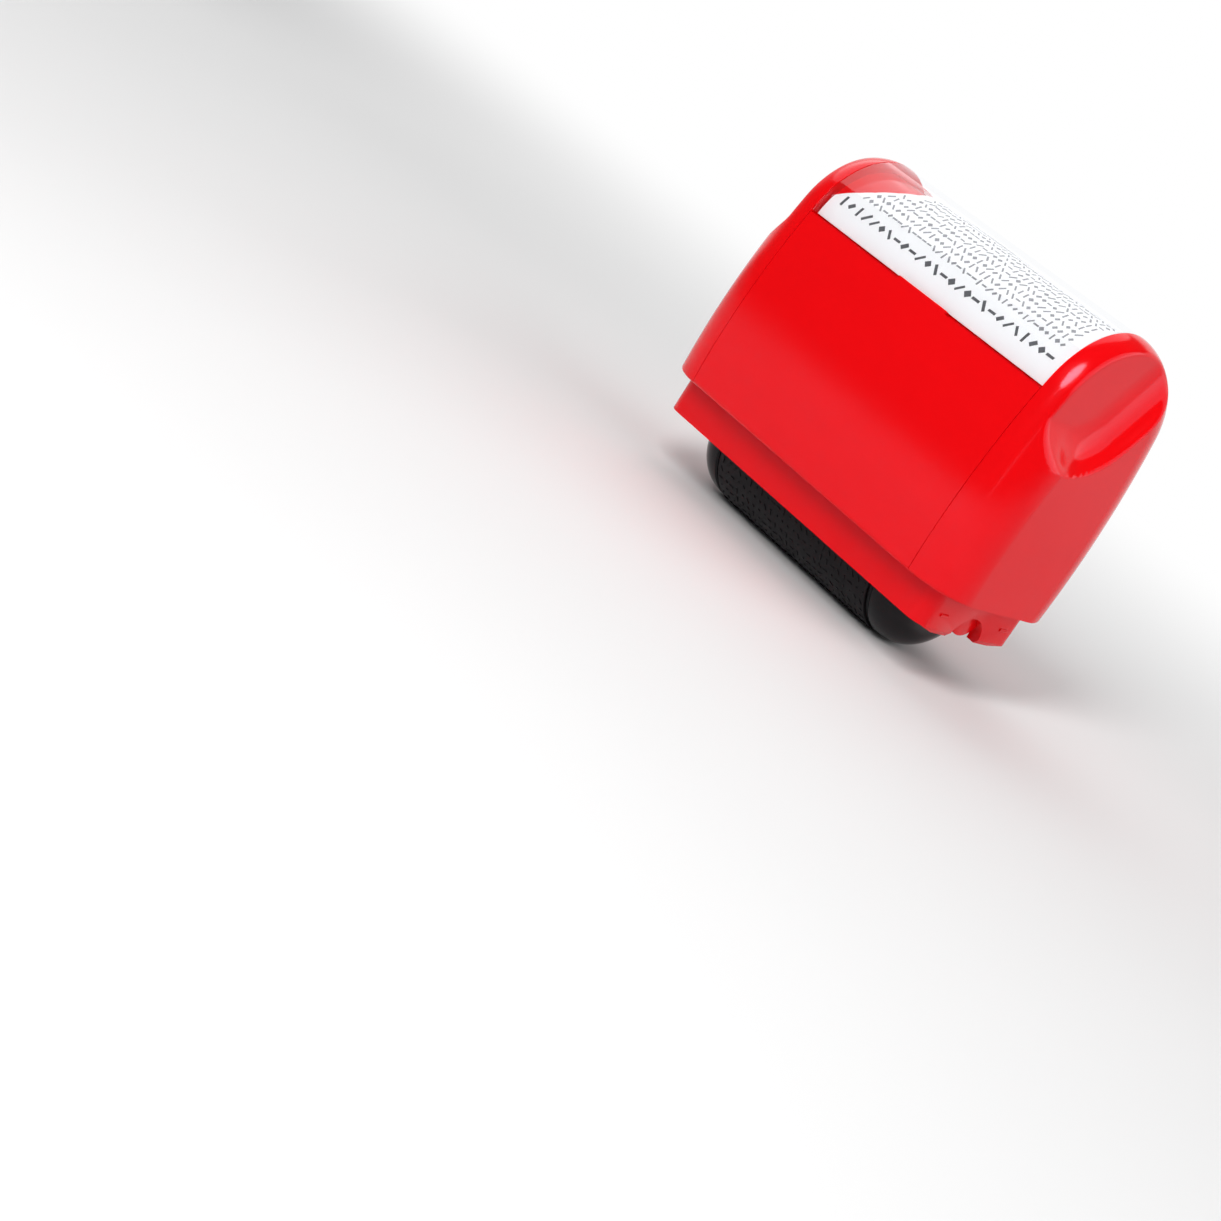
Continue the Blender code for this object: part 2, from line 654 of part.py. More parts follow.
def add_plate_ribs(body):
    """Stiffening ribs on the top plate, broken where the housing's webs bear on it."""
    web_half = WEB_THICKNESS / 2 + SEAT_GAP
    rib_end = FRAME_INNER_HALF_LENGTH - PLATE_RIB_INSET
    spans = [
        (-rib_end, -WEB_REACH - web_half),
        (-WEB_REACH + web_half, WEB_REACH - web_half),
        (WEB_REACH + web_half, rib_end),
    ]
    for face in (-1, 1):
        middle = face * PLATE_RIB_REACH
        for start, end in spans:
            low = (start, middle - PLATE_RIB_WIDTH / 2, PLATE_TOP - TOP_PLATE / 2)
            high = (end, middle + PLATE_RIB_WIDTH / 2, PLATE_TOP + PLATE_RIB_HEIGHT)
            join(body, block("plate_rib", low, high))
    return body


def make_roller_frame(material, parent):
    """Lower frame that carries the roller and slides into the housing."""
    body = trim_frame_foot(frame_box())
    for side in (-1, 1):
        add_bearing(body, side)
        add_detents(body, side)
        add_snap_arm(body, side)
    add_plate_ribs(body)
    return place(body, "roller_frame", material, parent)


def make_axle(material, parent):
    """Steel pin with chamfered ends, held in the frame's two bosses."""
    half_length = FRAME_INNER_HALF_LENGTH - SEAT_GAP
    tip = AXLE_RADIUS - AXLE_CHAMFER
    stations = [
        (-half_length, tip),
        (-half_length + AXLE_CHAMFER, AXLE_RADIUS),
        (half_length - AXLE_CHAMFER, AXLE_RADIUS),
        (half_length, tip),
    ]
    rings = [[(x, y, z) for y, z in circle(radius, BEARING_SIDES)] for x, radius in stations]
    return place(loft("axle", rings), "axle", material, parent)


def make_washer(name, side, material, parent):
    """Thrust washer between bush and boss."""
    end = WASHER_START + WASHER_THICKNESS
    rim = BEARING_BORE_RADIUS + WASHER_RIM
    profile = [
        (WASHER_START, BEARING_BORE_RADIUS),
        (end, BEARING_BORE_RADIUS),
        (end, rim),
        (WASHER_START, rim),
    ]
    washer = turned(name, mirrored(profile, side), BEARING_SIDES)
    return place(washer, name, material, parent)


def tube(name, half_length, inner, outer, chamfer):
    """Tube about X, centred, with chamfered outer ends."""
    profile = [
        (-half_length, inner),
        (-half_length, outer - chamfer),
        (-half_length + chamfer, outer),
        (half_length - chamfer, outer),
        (half_length, outer - chamfer),
        (half_length, inner),
    ]
    return turned(name, profile, ROLLER_SIDES)


def make_roller_core(material, parent):
    """Spool that joins the two roller caps."""
    core = tube("core", CORE_HALF_LENGTH, CORE_BORE_RADIUS, CORE_RADIUS, SEAT_GAP)
    return place(core, "roller_core", material, parent)


def make_ink_foam(material, parent):
    """Ink store between spool and sleeve."""
    half_length = SPIGOT_END - SEAT_GAP
    foam = tube("foam", half_length, CORE_RADIUS + SEAT_GAP, SPIGOT_RADIUS, SEAT_GAP)
    return place(foam, "ink_foam", material, parent)


def make_print_sleeve(material, parent):
    """Porous rubber sleeve that carries the print."""
    sleeve = tube("sleeve", SLEEVE_HALF_LENGTH, SLEEVE_BORE_RADIUS, ROLLER_RADIUS, FACE_GAP)
    return place(sleeve, "print_sleeve", material, parent)


def make_seal_ring(name, side, material, parent):
    """Flat seal between the sleeve's end and the cap's shoulder."""
    start = SLEEVE_HALF_LENGTH + FACE_GAP
    end = CAP_SHOULDER - FACE_GAP
    bore = SPIGOT_RADIUS + FIT_GAP
    rim = CAP_RADIUS - CAP_STEP
    profile = [(start, bore), (end, bore), (end, rim), (start, rim)]
    return place(turned(name, mirrored(profile, side), ROLLER_SIDES), name, material, parent)


def cap_profile():
    """Roller cap: spigot under the sleeve, shoulder, rounded end, bush bore and core pocket."""
    round_start = ROLLER_HALF_LENGTH - CAP_ROUND
    pocket_end = CORE_HALF_LENGTH + SEAT_GAP
    pocket_radius = CORE_RADIUS + FIT_GAP
    bore_radius = BUSH_RADIUS + FIT_GAP
    rounding = [
        (round_start + CAP_ROUND * math.sin(turn), CAP_RADIUS - CAP_ROUND * (1 - math.cos(turn)))
        for turn in steps_between(0.0, math.pi / 2, FILLET_STEPS)
    ]
    return [
        (SPIGOT_END, pocket_radius),
        (SPIGOT_END, SPIGOT_RADIUS),
        (CAP_SHOULDER, SPIGOT_RADIUS),
        (CAP_SHOULDER, CAP_RADIUS - CAP_STEP),
        (CAP_SHOULDER + CAP_STEP, CAP_RADIUS),
        *rounding,
        (ROLLER_HALF_LENGTH, bore_radius),
        (pocket_end, bore_radius),
        (pocket_end, pocket_radius),
    ]


def plug_seat():
    """Outer face of the plug's head, along X."""
    return ROLLER_HALF_LENGTH - CAP_LENGTH + PLUG_HEAD_REACH


def plug_hole():
    """Tools for the refill hole and the spot face of its plug in the right cap."""
    centre = (0.0, PLUG_RING_RADIUS)
    head_start = plug_seat() - PLUG_HEAD_THICKNESS - SEAT_GAP
    far = ROLLER_HALF_LENGTH + OVERRUN
    hole = prism(
        "hole", circle(PLUG_RADIUS + FIT_GAP, BEARING_SIDES // 2, centre), "X", SPIGOT_END - OVERRUN, far
    )
    spot_face = prism(
        "spot_face", circle(PLUG_HEAD_RADIUS + SEAT_GAP, BEARING_SIDES // 2, centre), "X", head_start, far
    )
    return hole, spot_face


def make_roller_cap(name, side, material, parent):
    """Rounded end of the roller, glued to the core, with a refill hole in the right one."""
    cap = turned(name, mirrored(cap_profile(), side), ROLLER_SIDES)
    if side > 0:
        cut(cap, *plug_hole())
    return place(cap, name, material, parent)


def make_ink_plug(material, parent):
    """Stepped plug of the refill hole."""
    centre = (0.0, PLUG_RING_RADIUS)
    head_end = plug_seat()
    head_start = head_end - PLUG_HEAD_THICKNESS
    sides = BEARING_SIDES // 2
    head = prism("head", circle(PLUG_HEAD_RADIUS, sides, centre), "X", head_start, head_end)
    shank_end = head_start + PLUG_HEAD_THICKNESS / 2
    shank = prism("shank", circle(PLUG_RADIUS, sides, centre), "X", head_start - PLUG_SHANK, shank_end)
    return place(join(head, shank), "ink_plug", material, parent)


def make_bush(name, side, material, parent):
    """Flanged plain bearing pressed into a roller cap."""
    flange_radius = BUSH_RADIUS + BUSH_FLANGE_RIM
    start = BUSH_FLANGE_START - BUSH_LENGTH
    profile = [
        (start, BEARING_BORE_RADIUS),
        (BUSH_FLANGE_END, BEARING_BORE_RADIUS),
        (BUSH_FLANGE_END, flange_radius),
        (BUSH_FLANGE_START, flange_radius),
        (BUSH_FLANGE_START, BUSH_RADIUS),
        (start, BUSH_RADIUS),
    ]
    return place(turned(name, mirrored(profile, side), BEARING_SIDES), name, material, parent)


def main():
    """Build the stamp."""
    clear_scene()
    red = plastic("red_gloss_plastic", (0.80, 0.003, 0.007), 0.22)
    clear = plastic("clear_plastic", (0.95, 0.96, 0.97), 0.05, alpha=0.25)
    card = plastic("white_card", (0.85, 0.85, 0.86), 0.70)
    rubber = plastic("black_rubber", (0.020, 0.019, 0.022), 0.55)
    black = plastic("black_gloss_plastic", (0.012, 0.011, 0.014), 0.18)
    foam = plastic("ink_foam", (0.030, 0.030, 0.045), 0.95)
    natural = plastic("natural_plastic", (0.72, 0.70, 0.64), 0.40)
    steel = plastic("bright_steel", (0.62, 0.63, 0.65), 0.25, metallic=1.0)

    housing = frame_empty("housing_base", (0.0, 0.0, SHELL_BASE))
    cartridge = frame_empty("cartridge_axle", (0.0, 0.0, ROLLER_RADIUS))
    roller = frame_empty("roller_axis", (0.0, 0.0, 0.0), cartridge)

    make_outer_shell(red, housing)
    make_panel("front_panel", -1, red, housing)
    make_panel("rear_panel", 1, red, housing)
    make_window_cover(clear, housing)
    make_label_card(card, housing)

    make_roller_frame(red, cartridge)
    make_axle(steel, cartridge)

    make_roller_core(natural, roller)
    make_ink_foam(foam, roller)
    make_print_sleeve(rubber, roller)
    make_ink_plug(natural, roller)
    for word, side in (("left", -1), ("right", 1)):
        make_washer(f"thrust_washer_{word}", side, steel, cartridge)
        make_seal_ring(f"seal_ring_{word}", side, rubber, roller)
        make_roller_cap(f"roller_cap_{word}", side, black, roller)
        make_bush(f"bush_{word}", side, natural, roller)


main()
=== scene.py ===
"""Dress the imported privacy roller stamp: red arch housing, clear window over a card, black roller.

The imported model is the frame, in metres: +X runs along the roller, -Y is the front, +Z is up.
Every piece made here sits where its CAD node sits and rides on that node's body.
"""

import logging
import math
from dataclasses import dataclass, field, fields
from enum import Enum
from typing import Any, Callable, Mapping, Optional, Sequence, Union

import bmesh
import bpy
from mathutils import Matrix, Vector


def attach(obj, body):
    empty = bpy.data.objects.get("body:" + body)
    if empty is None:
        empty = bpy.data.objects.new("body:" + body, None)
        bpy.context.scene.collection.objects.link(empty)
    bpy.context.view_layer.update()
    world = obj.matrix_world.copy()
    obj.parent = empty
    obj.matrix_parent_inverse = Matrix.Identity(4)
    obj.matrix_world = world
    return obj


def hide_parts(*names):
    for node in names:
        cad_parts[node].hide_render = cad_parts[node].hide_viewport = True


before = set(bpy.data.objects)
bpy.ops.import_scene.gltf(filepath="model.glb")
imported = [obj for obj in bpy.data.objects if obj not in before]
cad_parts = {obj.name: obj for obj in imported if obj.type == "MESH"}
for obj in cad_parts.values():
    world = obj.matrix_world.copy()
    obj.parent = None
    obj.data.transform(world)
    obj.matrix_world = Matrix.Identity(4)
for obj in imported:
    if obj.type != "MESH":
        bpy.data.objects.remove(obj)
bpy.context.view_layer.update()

LOG = logging.getLogger("stamp")
MM = 0.001
QUARTER = math.pi / 2
MERGE_DISTANCE = 1e-6
TINY = 1e-9
ROLL_STEPS = 6
STRAIGHT = math.radians(172.0)
LONGEST_CUT = 0.45
Pair = tuple[float, float]
Triple = tuple[float, float, float]
Colour = tuple[float, float, float]
Piece = bpy.types.Object
Node = bpy.types.Node
Values = Mapping[Union[str, int], Any]


class Side(Enum):
    """The two ends of the roller."""

    LOW = -1
    HIGH = 1

    @property
    def word(self) -> str:
        """Name of this end in the CAD nodes."""
        return "left" if self is Side.LOW else "right"


class Operation(Enum):
    """What a solid tool does to its target."""

    CUT = "DIFFERENCE"
    JOIN = "UNION"


# Node helpers


class Wire:
    """Output of a node, usable in arithmetic: each operator adds one Math node."""

    def __init__(self, graph: "Graph", socket: bpy.types.NodeSocket) -> None:
        """Keep the socket and the graph that it belongs to."""
        self.graph = graph
        self.socket = socket

    def math(self, operation: str, *values: Any) -> "Wire":
        """Put this wire and further values through one Math node."""
        return self.graph.math(operation, self, *values)

    def __add__(self, other: Any) -> "Wire":
        """self + other."""
        return self.math("ADD", other)

    def __radd__(self, other: Any) -> "Wire":
        """other + self."""
        return self.graph.math("ADD", other, self)

    def __sub__(self, other: Any) -> "Wire":
        """self - other."""
        return self.math("SUBTRACT", other)

    def __rsub__(self, other: Any) -> "Wire":
        """other - self."""
        return self.graph.math("SUBTRACT", other, self)

    def __mul__(self, other: Any) -> "Wire":
        """self * other."""
        return self.math("MULTIPLY", other)

    def __rmul__(self, other: Any) -> "Wire":
        """other * self."""
        return self.graph.math("MULTIPLY", other, self)

    def __truediv__(self, other: Any) -> "Wire":
        """self / other."""
        return self.math("DIVIDE", other)


class Graph:
    """A node tree with one method that makes any node and short ones for its wires."""

    def __init__(self, tree: bpy.types.NodeTree) -> None:
        """Wrap a tree and empty it."""
        self.tree = tree
        tree.nodes.clear()

    def add(self, kind: str, values: Optional[Values] = None, **settings: Any) -> Node:
        """Make a node.

        Args:
            kind: Blender's type name of the node.
            values: Numbers or wires for the sockets, by name or number.
            settings: Properties of the node, set before its sockets.

        Returns:
            The new node.
        """
        node = self.tree.nodes.new(kind)
        for key, value in settings.items():
            setattr(node, key, value)
        for key, value in (values or {}).items():
            self.feed(node.inputs[key], value)
        return node

    def wire(
        self, kind: str, values: Optional[Values] = None, key: Union[str, int] = 0, **settings: Any
    ) -> Wire:
        """Make a node and give one of its outputs.

        Args:
            kind: Blender's type name of the node.
            values: Numbers or wires for the sockets, by name or number.
            key: Name or number of the output.
            settings: Properties of the node.

        Returns:
            The output.
        """
        return Wire(self, self.add(kind, values, **settings).outputs[key])

    def math(self, operation: str, *values: Any) -> Wire:
        """One Math node."""
        return self.wire("ShaderNodeMath", dict(enumerate(values)), operation=operation)

    def feed(self, target: bpy.types.NodeSocket, value: Any) -> None:
        """Link a wire to a socket, or write a number on it.

        Args:
            target: Input socket of a node.
            value: A wire, or a plain value of the kind that the socket takes.
        """
        if isinstance(value, Wire):
            self.tree.links.new(value.socket, target)
        else:
            target.default_value = value


class ShaderGraph(Graph):
    """Material nodes on Object coordinates that end in one Principled shader."""

    NOISE_ROUGHNESS = 0.55

    def __init__(self, material: bpy.types.Material) -> None:
        """Start the material's tree with its shader and output.

        Args:
            material: The material whose nodes are made anew.
        """
        material.use_nodes = True
        self.material = material
        super().__init__(material.node_tree)
        self.output = self.add("ShaderNodeOutputMaterial")
        self.shader = self.add("ShaderNodeBsdfPrincipled")
        self.show(self.shader)
        self.place = self.wire("ShaderNodeTexCoord", key="Object")

    def show(self, shader: Node) -> None:
        """Send a shader to the material's output."""
        self.tree.links.new(shader.outputs[0], self.output.inputs["Surface"])

    def show_mix(self, share: Wire, first: Node, second: Node) -> None:
        """Send two shaders to the output, the second by a share from 0 to 1."""
        values = {0: share, 1: Wire(self, first.outputs[0]), 2: Wire(self, second.outputs[0])}
        self.show(self.add("ShaderNodeMixShader", values))

    def set(self, **values: Any) -> None:
        """Set or link the shader's sockets; underscores stand for spaces."""
        for key, value in values.items():
            self.feed(self.shader.inputs[key.replace("_", " ")], value)

    def noise(self, size: float, detail: float, stretch: Triple = (1.0, 1.0, 1.0)) -> Wire:
        """Noise whose features are about one size across, from 0 to 1.

        Args:
            size: Size of one feature, in metres.
            detail: How many finer layers are added.
            stretch: Scale along each axis; less is longer.

        Returns:
            The noise.
        """
        mapped = self.wire("ShaderNodeMapping", {"Vector": self.place, "Scale": stretch})
        values = {"Vector": mapped, "Scale": 1.0 / size, "Detail": detail}
        values["Roughness"] = self.NOISE_ROUGHNESS
        return self.wire("ShaderNodeTexNoise", values, "Fac", noise_dimensions="3D")

    def blend(self, share: Wire, first: Colour, second: Colour) -> Wire:
        """Colour between two, by a share from 0 to 1."""
        values = {0: share, 6: (*first, 1.0), 7: (*second, 1.0)}
        return self.wire("ShaderNodeMix", values, 2, data_type="RGBA")

    def bump(self, height: Wire, depth: float) -> None:
        """Let a height field tilt the shader's normals."""
        values = {"Height": height, "Distance": depth, "Strength": 1.0}
        self.set(Normal=self.wire("ShaderNodeBump", values))


# Finishes


@dataclass(frozen=True)
class Finish:
    """Colour and surface of one material."""

    name: str
    slot: str
    colour: Colour
    roughness: float

    def material(self) -> bpy.types.Material:
        """Material of this finish, made once.

        Returns:
            The material, the same one at every call.
        """
        found = bpy.data.materials.get(self.name)
        if found is None:
            found = bpy.data.materials.new(self.name)
            self.paint(ShaderGraph(found))
        return found

    def paint(self, graph: ShaderGraph) -> None:
        """Fill the graph; each kind of finish has its own."""
        raise NotImplementedError

    def shades(self, spread: float) -> tuple[Colour, Colour]:
        """The colour a little darker and a little lighter.

        Args:
            spread: Share by which the two differ from the colour.

        Returns:
            The darker and the lighter one.
        """
        darker = tuple(channel * (1.0 - spread) for channel in self.colour)
        lighter = tuple(min(channel * (1.0 + spread), 1.0) for channel in self.colour)
        return darker, lighter


@dataclass(frozen=True)
class MouldedPlastic(Finish):
    """Polished injection-moulded plastic with faint flow marks and a fine skin."""

    specular: float = 0.5
    gloss_tint: Colour = (1.0, 1.0, 1.0)
    spread: float = 0.04
    flow_size: float = 9.0 * MM
    flow_stretch: Triple = (0.5, 1.0, 1.4)
    flow_height: float = 6.0
    grain_size: float = 0.22 * MM
    grain_depth: float = 0.0015 * MM
    handling_size: float = 2.1 * MM
    handling: float = 0.04

    def paint(self, graph: ShaderGraph) -> None:
        """Fill the graph.

        Args:
            graph: The material's nodes, empty but for the shader.
        """
        flow = graph.noise(self.flow_size, 3.0, self.flow_stretch)
        grain = graph.noise(self.grain_size, 3.0)
        handling = graph.noise(self.handling_size, 4.0)
        graph.set(
            Base_Color=graph.blend(flow, *self.shades(self.spread)),
            Roughness=self.roughness + (handling - 0.5) * self.handling,
            Specular_IOR_Level=self.specular,
            Specular_Tint=(*self.gloss_tint, 1.0),
        )
        graph.bump(grain + flow * self.flow_height, self.grain_depth)


@dataclass(frozen=True)
class ClearPlastic(Finish):
    """Clear cover: mirror-like at a slant, see-through elsewhere, with a trace of haze."""

    haze: float = 0.012
    refraction: float = 1.49
    passing: Colour = (0.985, 0.988, 0.992)
    smudge_size: float = 3.0 * MM
    smudge_gloss: float = 0.01
    smudge_roughness: float = 0.03
    spread: float = 0.02

    def paint(self, graph: ShaderGraph) -> None:
        """Fill the graph.

        Args:
            graph: The material's nodes, empty but for the shader.
        """
        slant = graph.wire("ShaderNodeFresnel", {"IOR": self.refraction})
        entering = 1.0 - graph.wire("ShaderNodeNewGeometry", key="Backfacing")
        smudge = graph.noise(self.smudge_size, 4.0)
        graph.set(
            Base_Color=graph.blend(smudge, *self.shades(self.spread)),
            Metallic=1.0,
            Roughness=self.roughness + smudge * self.smudge_roughness,
        )
        through = graph.add("ShaderNodeBsdfTransparent", {"Color": (*self.passing, 1.0)})
        share = (slant + smudge * self.smudge_gloss) * entering + self.haze
        graph.show_mix(share, through, graph.shader)


@dataclass(frozen=True)
class Grained(Finish):
    """Card, matt ink or drawn steel: one fine grain in colour, roughness and height."""

    grain_size: float = 0.25 * MM
    detail: float = 3.0
    stretch: Triple = (1.0, 1.0, 1.0)
    spread: float = 0.12
    roughening: float = 0.1
    specular: float = 0.2
    metallic: float = 0.0
    depth: float = 0.001 * MM

    def paint(self, graph: ShaderGraph) -> None:
        """Fill the graph.

        Args:
            graph: The material's nodes, empty but for the shader.
        """
        grain = graph.noise(self.grain_size, self.detail, self.stretch)
        graph.set(
            Base_Color=graph.blend(grain, *self.shades(self.spread)),
            Metallic=self.metallic,
            Roughness=self.roughness + grain * self.roughening,
            Specular_IOR_Level=self.specular,
        )
        graph.bump(grain, self.depth)


@dataclass(frozen=True)
class InkedRubber(Finish):
    """Porous stamp rubber, matt with oily patches where ink has soaked through."""

    pore_size: float = 0.11 * MM
    pore_roughness: float = 0.12
    patch_size: float = 4.0 * MM
    patch_gloss: float = 0.22
    patch_height: float = 0.4
    spread: float = 0.25
    specular: float = 0.18
    depth: float = 0.012 * MM

    def paint(self, graph: ShaderGraph) -> None:
        """Fill the graph.

        Args:
            graph: The material's nodes, empty but for the shader.
        """
        pores = graph.noise(self.pore_size, 4.0)
        oily = graph.noise(self.patch_size, 3.0)
        gloss = self.roughness - oily * self.patch_gloss
        graph.set(
            Base_Color=graph.blend(oily, *self.shades(self.spread)),
            Roughness=gloss + pores * self.pore_roughness,
            Specular_IOR_Level=self.specular,
        )
        graph.bump(pores + oily * self.patch_height, self.depth)


@dataclass(frozen=True)
class InkFoam(Finish):
    """Open foam filled with ink."""

    cell_size: float = 0.4 * MM
    spread: float = 0.4
    depth: float = 0.08 * MM

    def paint(self, graph: ShaderGraph) -> None:
        """Fill the graph.

        Args:
            graph: The material's nodes, empty but for the shader.
        """
        values = {"Vector": graph.place, "Scale": 1.0 / self.cell_size}
        cells = graph.wire("ShaderNodeTexVoronoi", values, "Distance", feature="F1")
        colour = graph.blend(cells, *self.shades(self.spread))
        graph.set(Base_Color=colour, Roughness=self.roughness)
        graph.bump(cells, self.depth)


RED_TINT = (1.0, 0.70, 0.92)
RED = MouldedPlastic("red_gloss", "red_plastic", (0.795, 0.0012, 0.0028), 0.13, 0.30, RED_TINT)
RED_FRAME = MouldedPlastic(
    "red_frame_gloss", "red_plastic", (0.770, 0.0014, 0.0030), 0.18, 0.24, RED_TINT
)
BLACK = MouldedPlastic(
    "black_gloss", "black_plastic", (0.0070, 0.0055, 0.0070), 0.12, 0.22, spread=0.15
)
NATURAL = MouldedPlastic("natural_nylon", "natural_plastic", (0.74, 0.71, 0.64), 0.36)
CLEAR = ClearPlastic("clear_cover", "clear_plastic", (0.96, 0.97, 1.0), 0.02)
CARD = Grained(
    name="white_card",
    slot="card",
    colour=(0.95, 0.95, 0.96),
    roughness=0.62,
    grain_size=0.35 * MM,
    detail=5.0,
    stretch=(0.35, 1.0, 1.0),
    spread=0.02,
    specular=0.3,
    depth=0.004 * MM,
)
DARK_INK = Grained("dark_ink", "card", (0.11, 0.11, 0.12), 0.7)
GREY_INK = Grained("grey_ink", "card", (0.27, 0.27, 0.29), 0.7)
RUBBER = InkedRubber("inked_rubber", "rubber", (0.009, 0.0075, 0.009), 0.55)
SEAL = InkedRubber("seal_rubber", "rubber", (0.014, 0.013, 0.015), 0.62)
FOAM = InkFoam("ink_foam_dark", "foam", (0.022, 0.022, 0.040), 0.95)
STEEL = Grained(
    name="bright_steel",
    slot="steel",
    colour=(0.63, 0.64, 0.66),
    roughness=0.16,
    grain_size=0.9 * MM,
    detail=4.0,
    stretch=(14.0, 0.4, 0.4),
    spread=0.08,
    roughening=0.12,
    specular=0.5,
    metallic=1.0,
    depth=0.002 * MM,
)


# Mesh helpers


def spaced(first: float, last: float, steps: int) -> list[float]:
    """Evenly spaced values from first to last, both included."""
    return [first + (last - first) * i / steps for i in range(steps + 1)]


def linked(name: str, data: Any) -> Piece:
    """New object in the scene with this data.

    Args:
        name: Its name.
        data: Mesh, lamp or camera.

    Returns:
        The object, at the origin.
    """
    made = bpy.data.objects.new(name, data)
    bpy.context.scene.collection.objects.link(made)
    return made


def solid(built: bmesh.types.BMesh) -> Piece:
    """Turn a bmesh into an object with merged corners and its faces pointing out.

    Args:
        built: The bmesh, freed here.

    Returns:
        The object, with no material yet.
    """
    bmesh.ops.remove_doubles(built, verts=built.verts[:], dist=MERGE_DISTANCE)
    bmesh.ops.recalc_face_normals(built, faces=built.faces[:])
    mesh = bpy.data.meshes.new("form")
    built.to_mesh(mesh)
    built.free()
    return linked("form", mesh)


def prism(outline: Sequence[Pair], axis: str, start: float, end: float) -> Piece:
    """Closed outline extruded along an axis from start to end.

    Args:
        outline: Points across the axis, in the order of the two other axes.
        axis: "X", "Y" or "Z".
        start: Place of the first end along the axis.
        end: Place of the other end.

    Returns:
        The prism.
    """
    rings = []
    for along in (start, end):
        rings.append([list(point) for point in outline])
        for place in rings[-1]:
            place.insert("XYZ".index(axis), along)
    return loft(rings)


def block(low: Triple, high: Triple) -> Piece:
    """Box between two corners, used only as a tool or before its edges are rounded."""
    outline = [(low[0], low[1]), (high[0], low[1]), (high[0], high[1]), (low[0], high[1])]
    return prism(outline, "Z", low[2], high[2])


def circle(radius: float, sides: int, centre: Pair = (0.0, 0.0)) -> list[Pair]:
    """Points round a circle."""
    turns = [math.tau * (i + 0.5) / sides for i in range(sides)]
    return [(centre[0] + radius * math.cos(t), centre[1] + radius * math.sin(t)) for t in turns]


def loft(rings: Sequence[Sequence[Triple]], capped: bool = True) -> Piece:
    """Skin over rings of equal point counts, closed at both ends unless they run to a line.

    Args:
        rings: Closed rings of points, from one end to the other.
        capped: Whether the first and last ring get a face.

    Returns:
        The solid.
    """
    built = bmesh.new()
    rows = [[built.verts.new(point) for point in ring] for ring in rings]
    for row, following in zip(rows, rows[1:]):
        for i in range(len(row)):
            j = (i + 1) % len(row)
            built.faces.new((row[i], row[j], following[j], following[i]))
    if capped:
        built.faces.new(rows[0])
        built.faces.new(rows[-1])
    return solid(built)


def turned(profile: Sequence[Pair], sides: int, height: float) -> Piece:
    """Closed (x, radius) profile spun round an axis along X at a height.

    Args:
        profile: Corners of the section on one side of the axis.
        sides: How many steps make a whole turn.
        height: Height of the axis.

    Returns:
        The solid.
    """
    built = bmesh.new()
    rows = []
    for turn in spaced(0.0, math.tau, sides)[:-1]:
        across, up = math.sin(turn), math.cos(turn)
        rows.append([built.verts.new((x, r * across, height + r * up)) for x, r in profile])
    for row, following in zip(rows, rows[1:] + rows[:1]):
        for i in range(len(profile)):
            j = (i + 1) % len(profile)
            if profile[i][1] > 0.0 or profile[j][1] > 0.0:
                built.faces.new((row[i], row[j], following[j], following[i]))
    return solid(built)


def rolled(across: float, foot: float, radius: float) -> list[Pair]:
    """Quarter round (y, z) from under a wall out to its face."""
    turns = spaced(0.0, QUARTER, ROLL_STEPS)[:-1]
    return [(across - radius * (1 - math.sin(t)), foot + radius * (1 - math.cos(t))) for t in turns]


def rounded(
    profile: Sequence[Pair], radius: float, steps: int, skip: Sequence[int] = ()
) -> list[Pair]:
    """Closed outline with every corner turned into a small arc.

    Args:
        profile: Corners of the outline.
        radius: Radius of the arcs, less where a side is too short for it.
        steps: Sides of each arc.
        skip: Numbers of the corners that stay as they are.

    Returns:
        The new outline.
    """
    points: list[Pair] = []
    for i, corner in enumerate(profile):
        here = Vector(corner)
        back = Vector(profile[i - 1]) - here
        ahead = Vector(profile[(i + 1) % len(profile)]) - here
        kept = i in skip or min(back.length, ahead.length) < TINY
        opening = math.pi if kept else back.angle(ahead)
        if opening > STRAIGHT:
            points.append(tuple(corner))
            continue
        longest = min(LONGEST_CUT * back.length, LONGEST_CUT * ahead.length)
        reach = min(radius / math.tan(opening / 2), longest)
        start = here + back.normalized() * reach
        end = here + ahead.normalized() * reach
        for share in spaced(0.0, 1.0, steps):
            first = start.lerp(here, share)
            points.append(tuple(first.lerp(here.lerp(end, share), share)))
    return points


def baked(target: Piece) -> Piece:
    """Turn the object's live modifiers into its plain mesh.

    Args:
        target: Object with live modifiers.

    Returns:
        The same object.
    """
    graph = bpy.context.evaluated_depsgraph_get()
    mesh = bpy.data.meshes.new_from_object(target.evaluated_get(graph))
    target.modifiers.clear()
    target.data = mesh
    return target


def combine(target: Piece, tools: Sequence[Piece], operation: Operation) -> Piece:
    """Apply one Boolean for each tool and use the tools up.

    Args:
        target: The solid that is worked on.
        tools: The solids that cut it or join it, taken in order.
        operation: Whether they cut or join.

    Returns:
        The target.
    """
    for tool in tools:
        modifier = target.modifiers.new(operation.name.lower(), "BOOLEAN")
        modifier.operation = operation.value
        modifier.solver = "EXACT"
        modifier.object = tool
        baked(target)
        bpy.data.objects.remove(tool, do_unlink=True)
    return target


def soften(target: Piece, width: float, steps: int = 2, limit: float = 32.0) -> Piece:
    """Round the edges of a plain solid that are sharper than a limit in degrees.

    Args:
        target: The solid.
        width: How far the rounding reaches.
        steps: Sides of each rounding.
        limit: Angle in degrees from which an edge is rounded.

    Returns:
        The target.
    """
    modifier = target.modifiers.new("edges", "BEVEL")
    modifier.width = width
    modifier.segments = steps
    modifier.limit_method = "ANGLE"
    modifier.angle_limit = math.radians(limit)
    modifier.use_clamp_overlap = True
    modifier.miter_outer = "MITER_ARC"
    return baked(target)


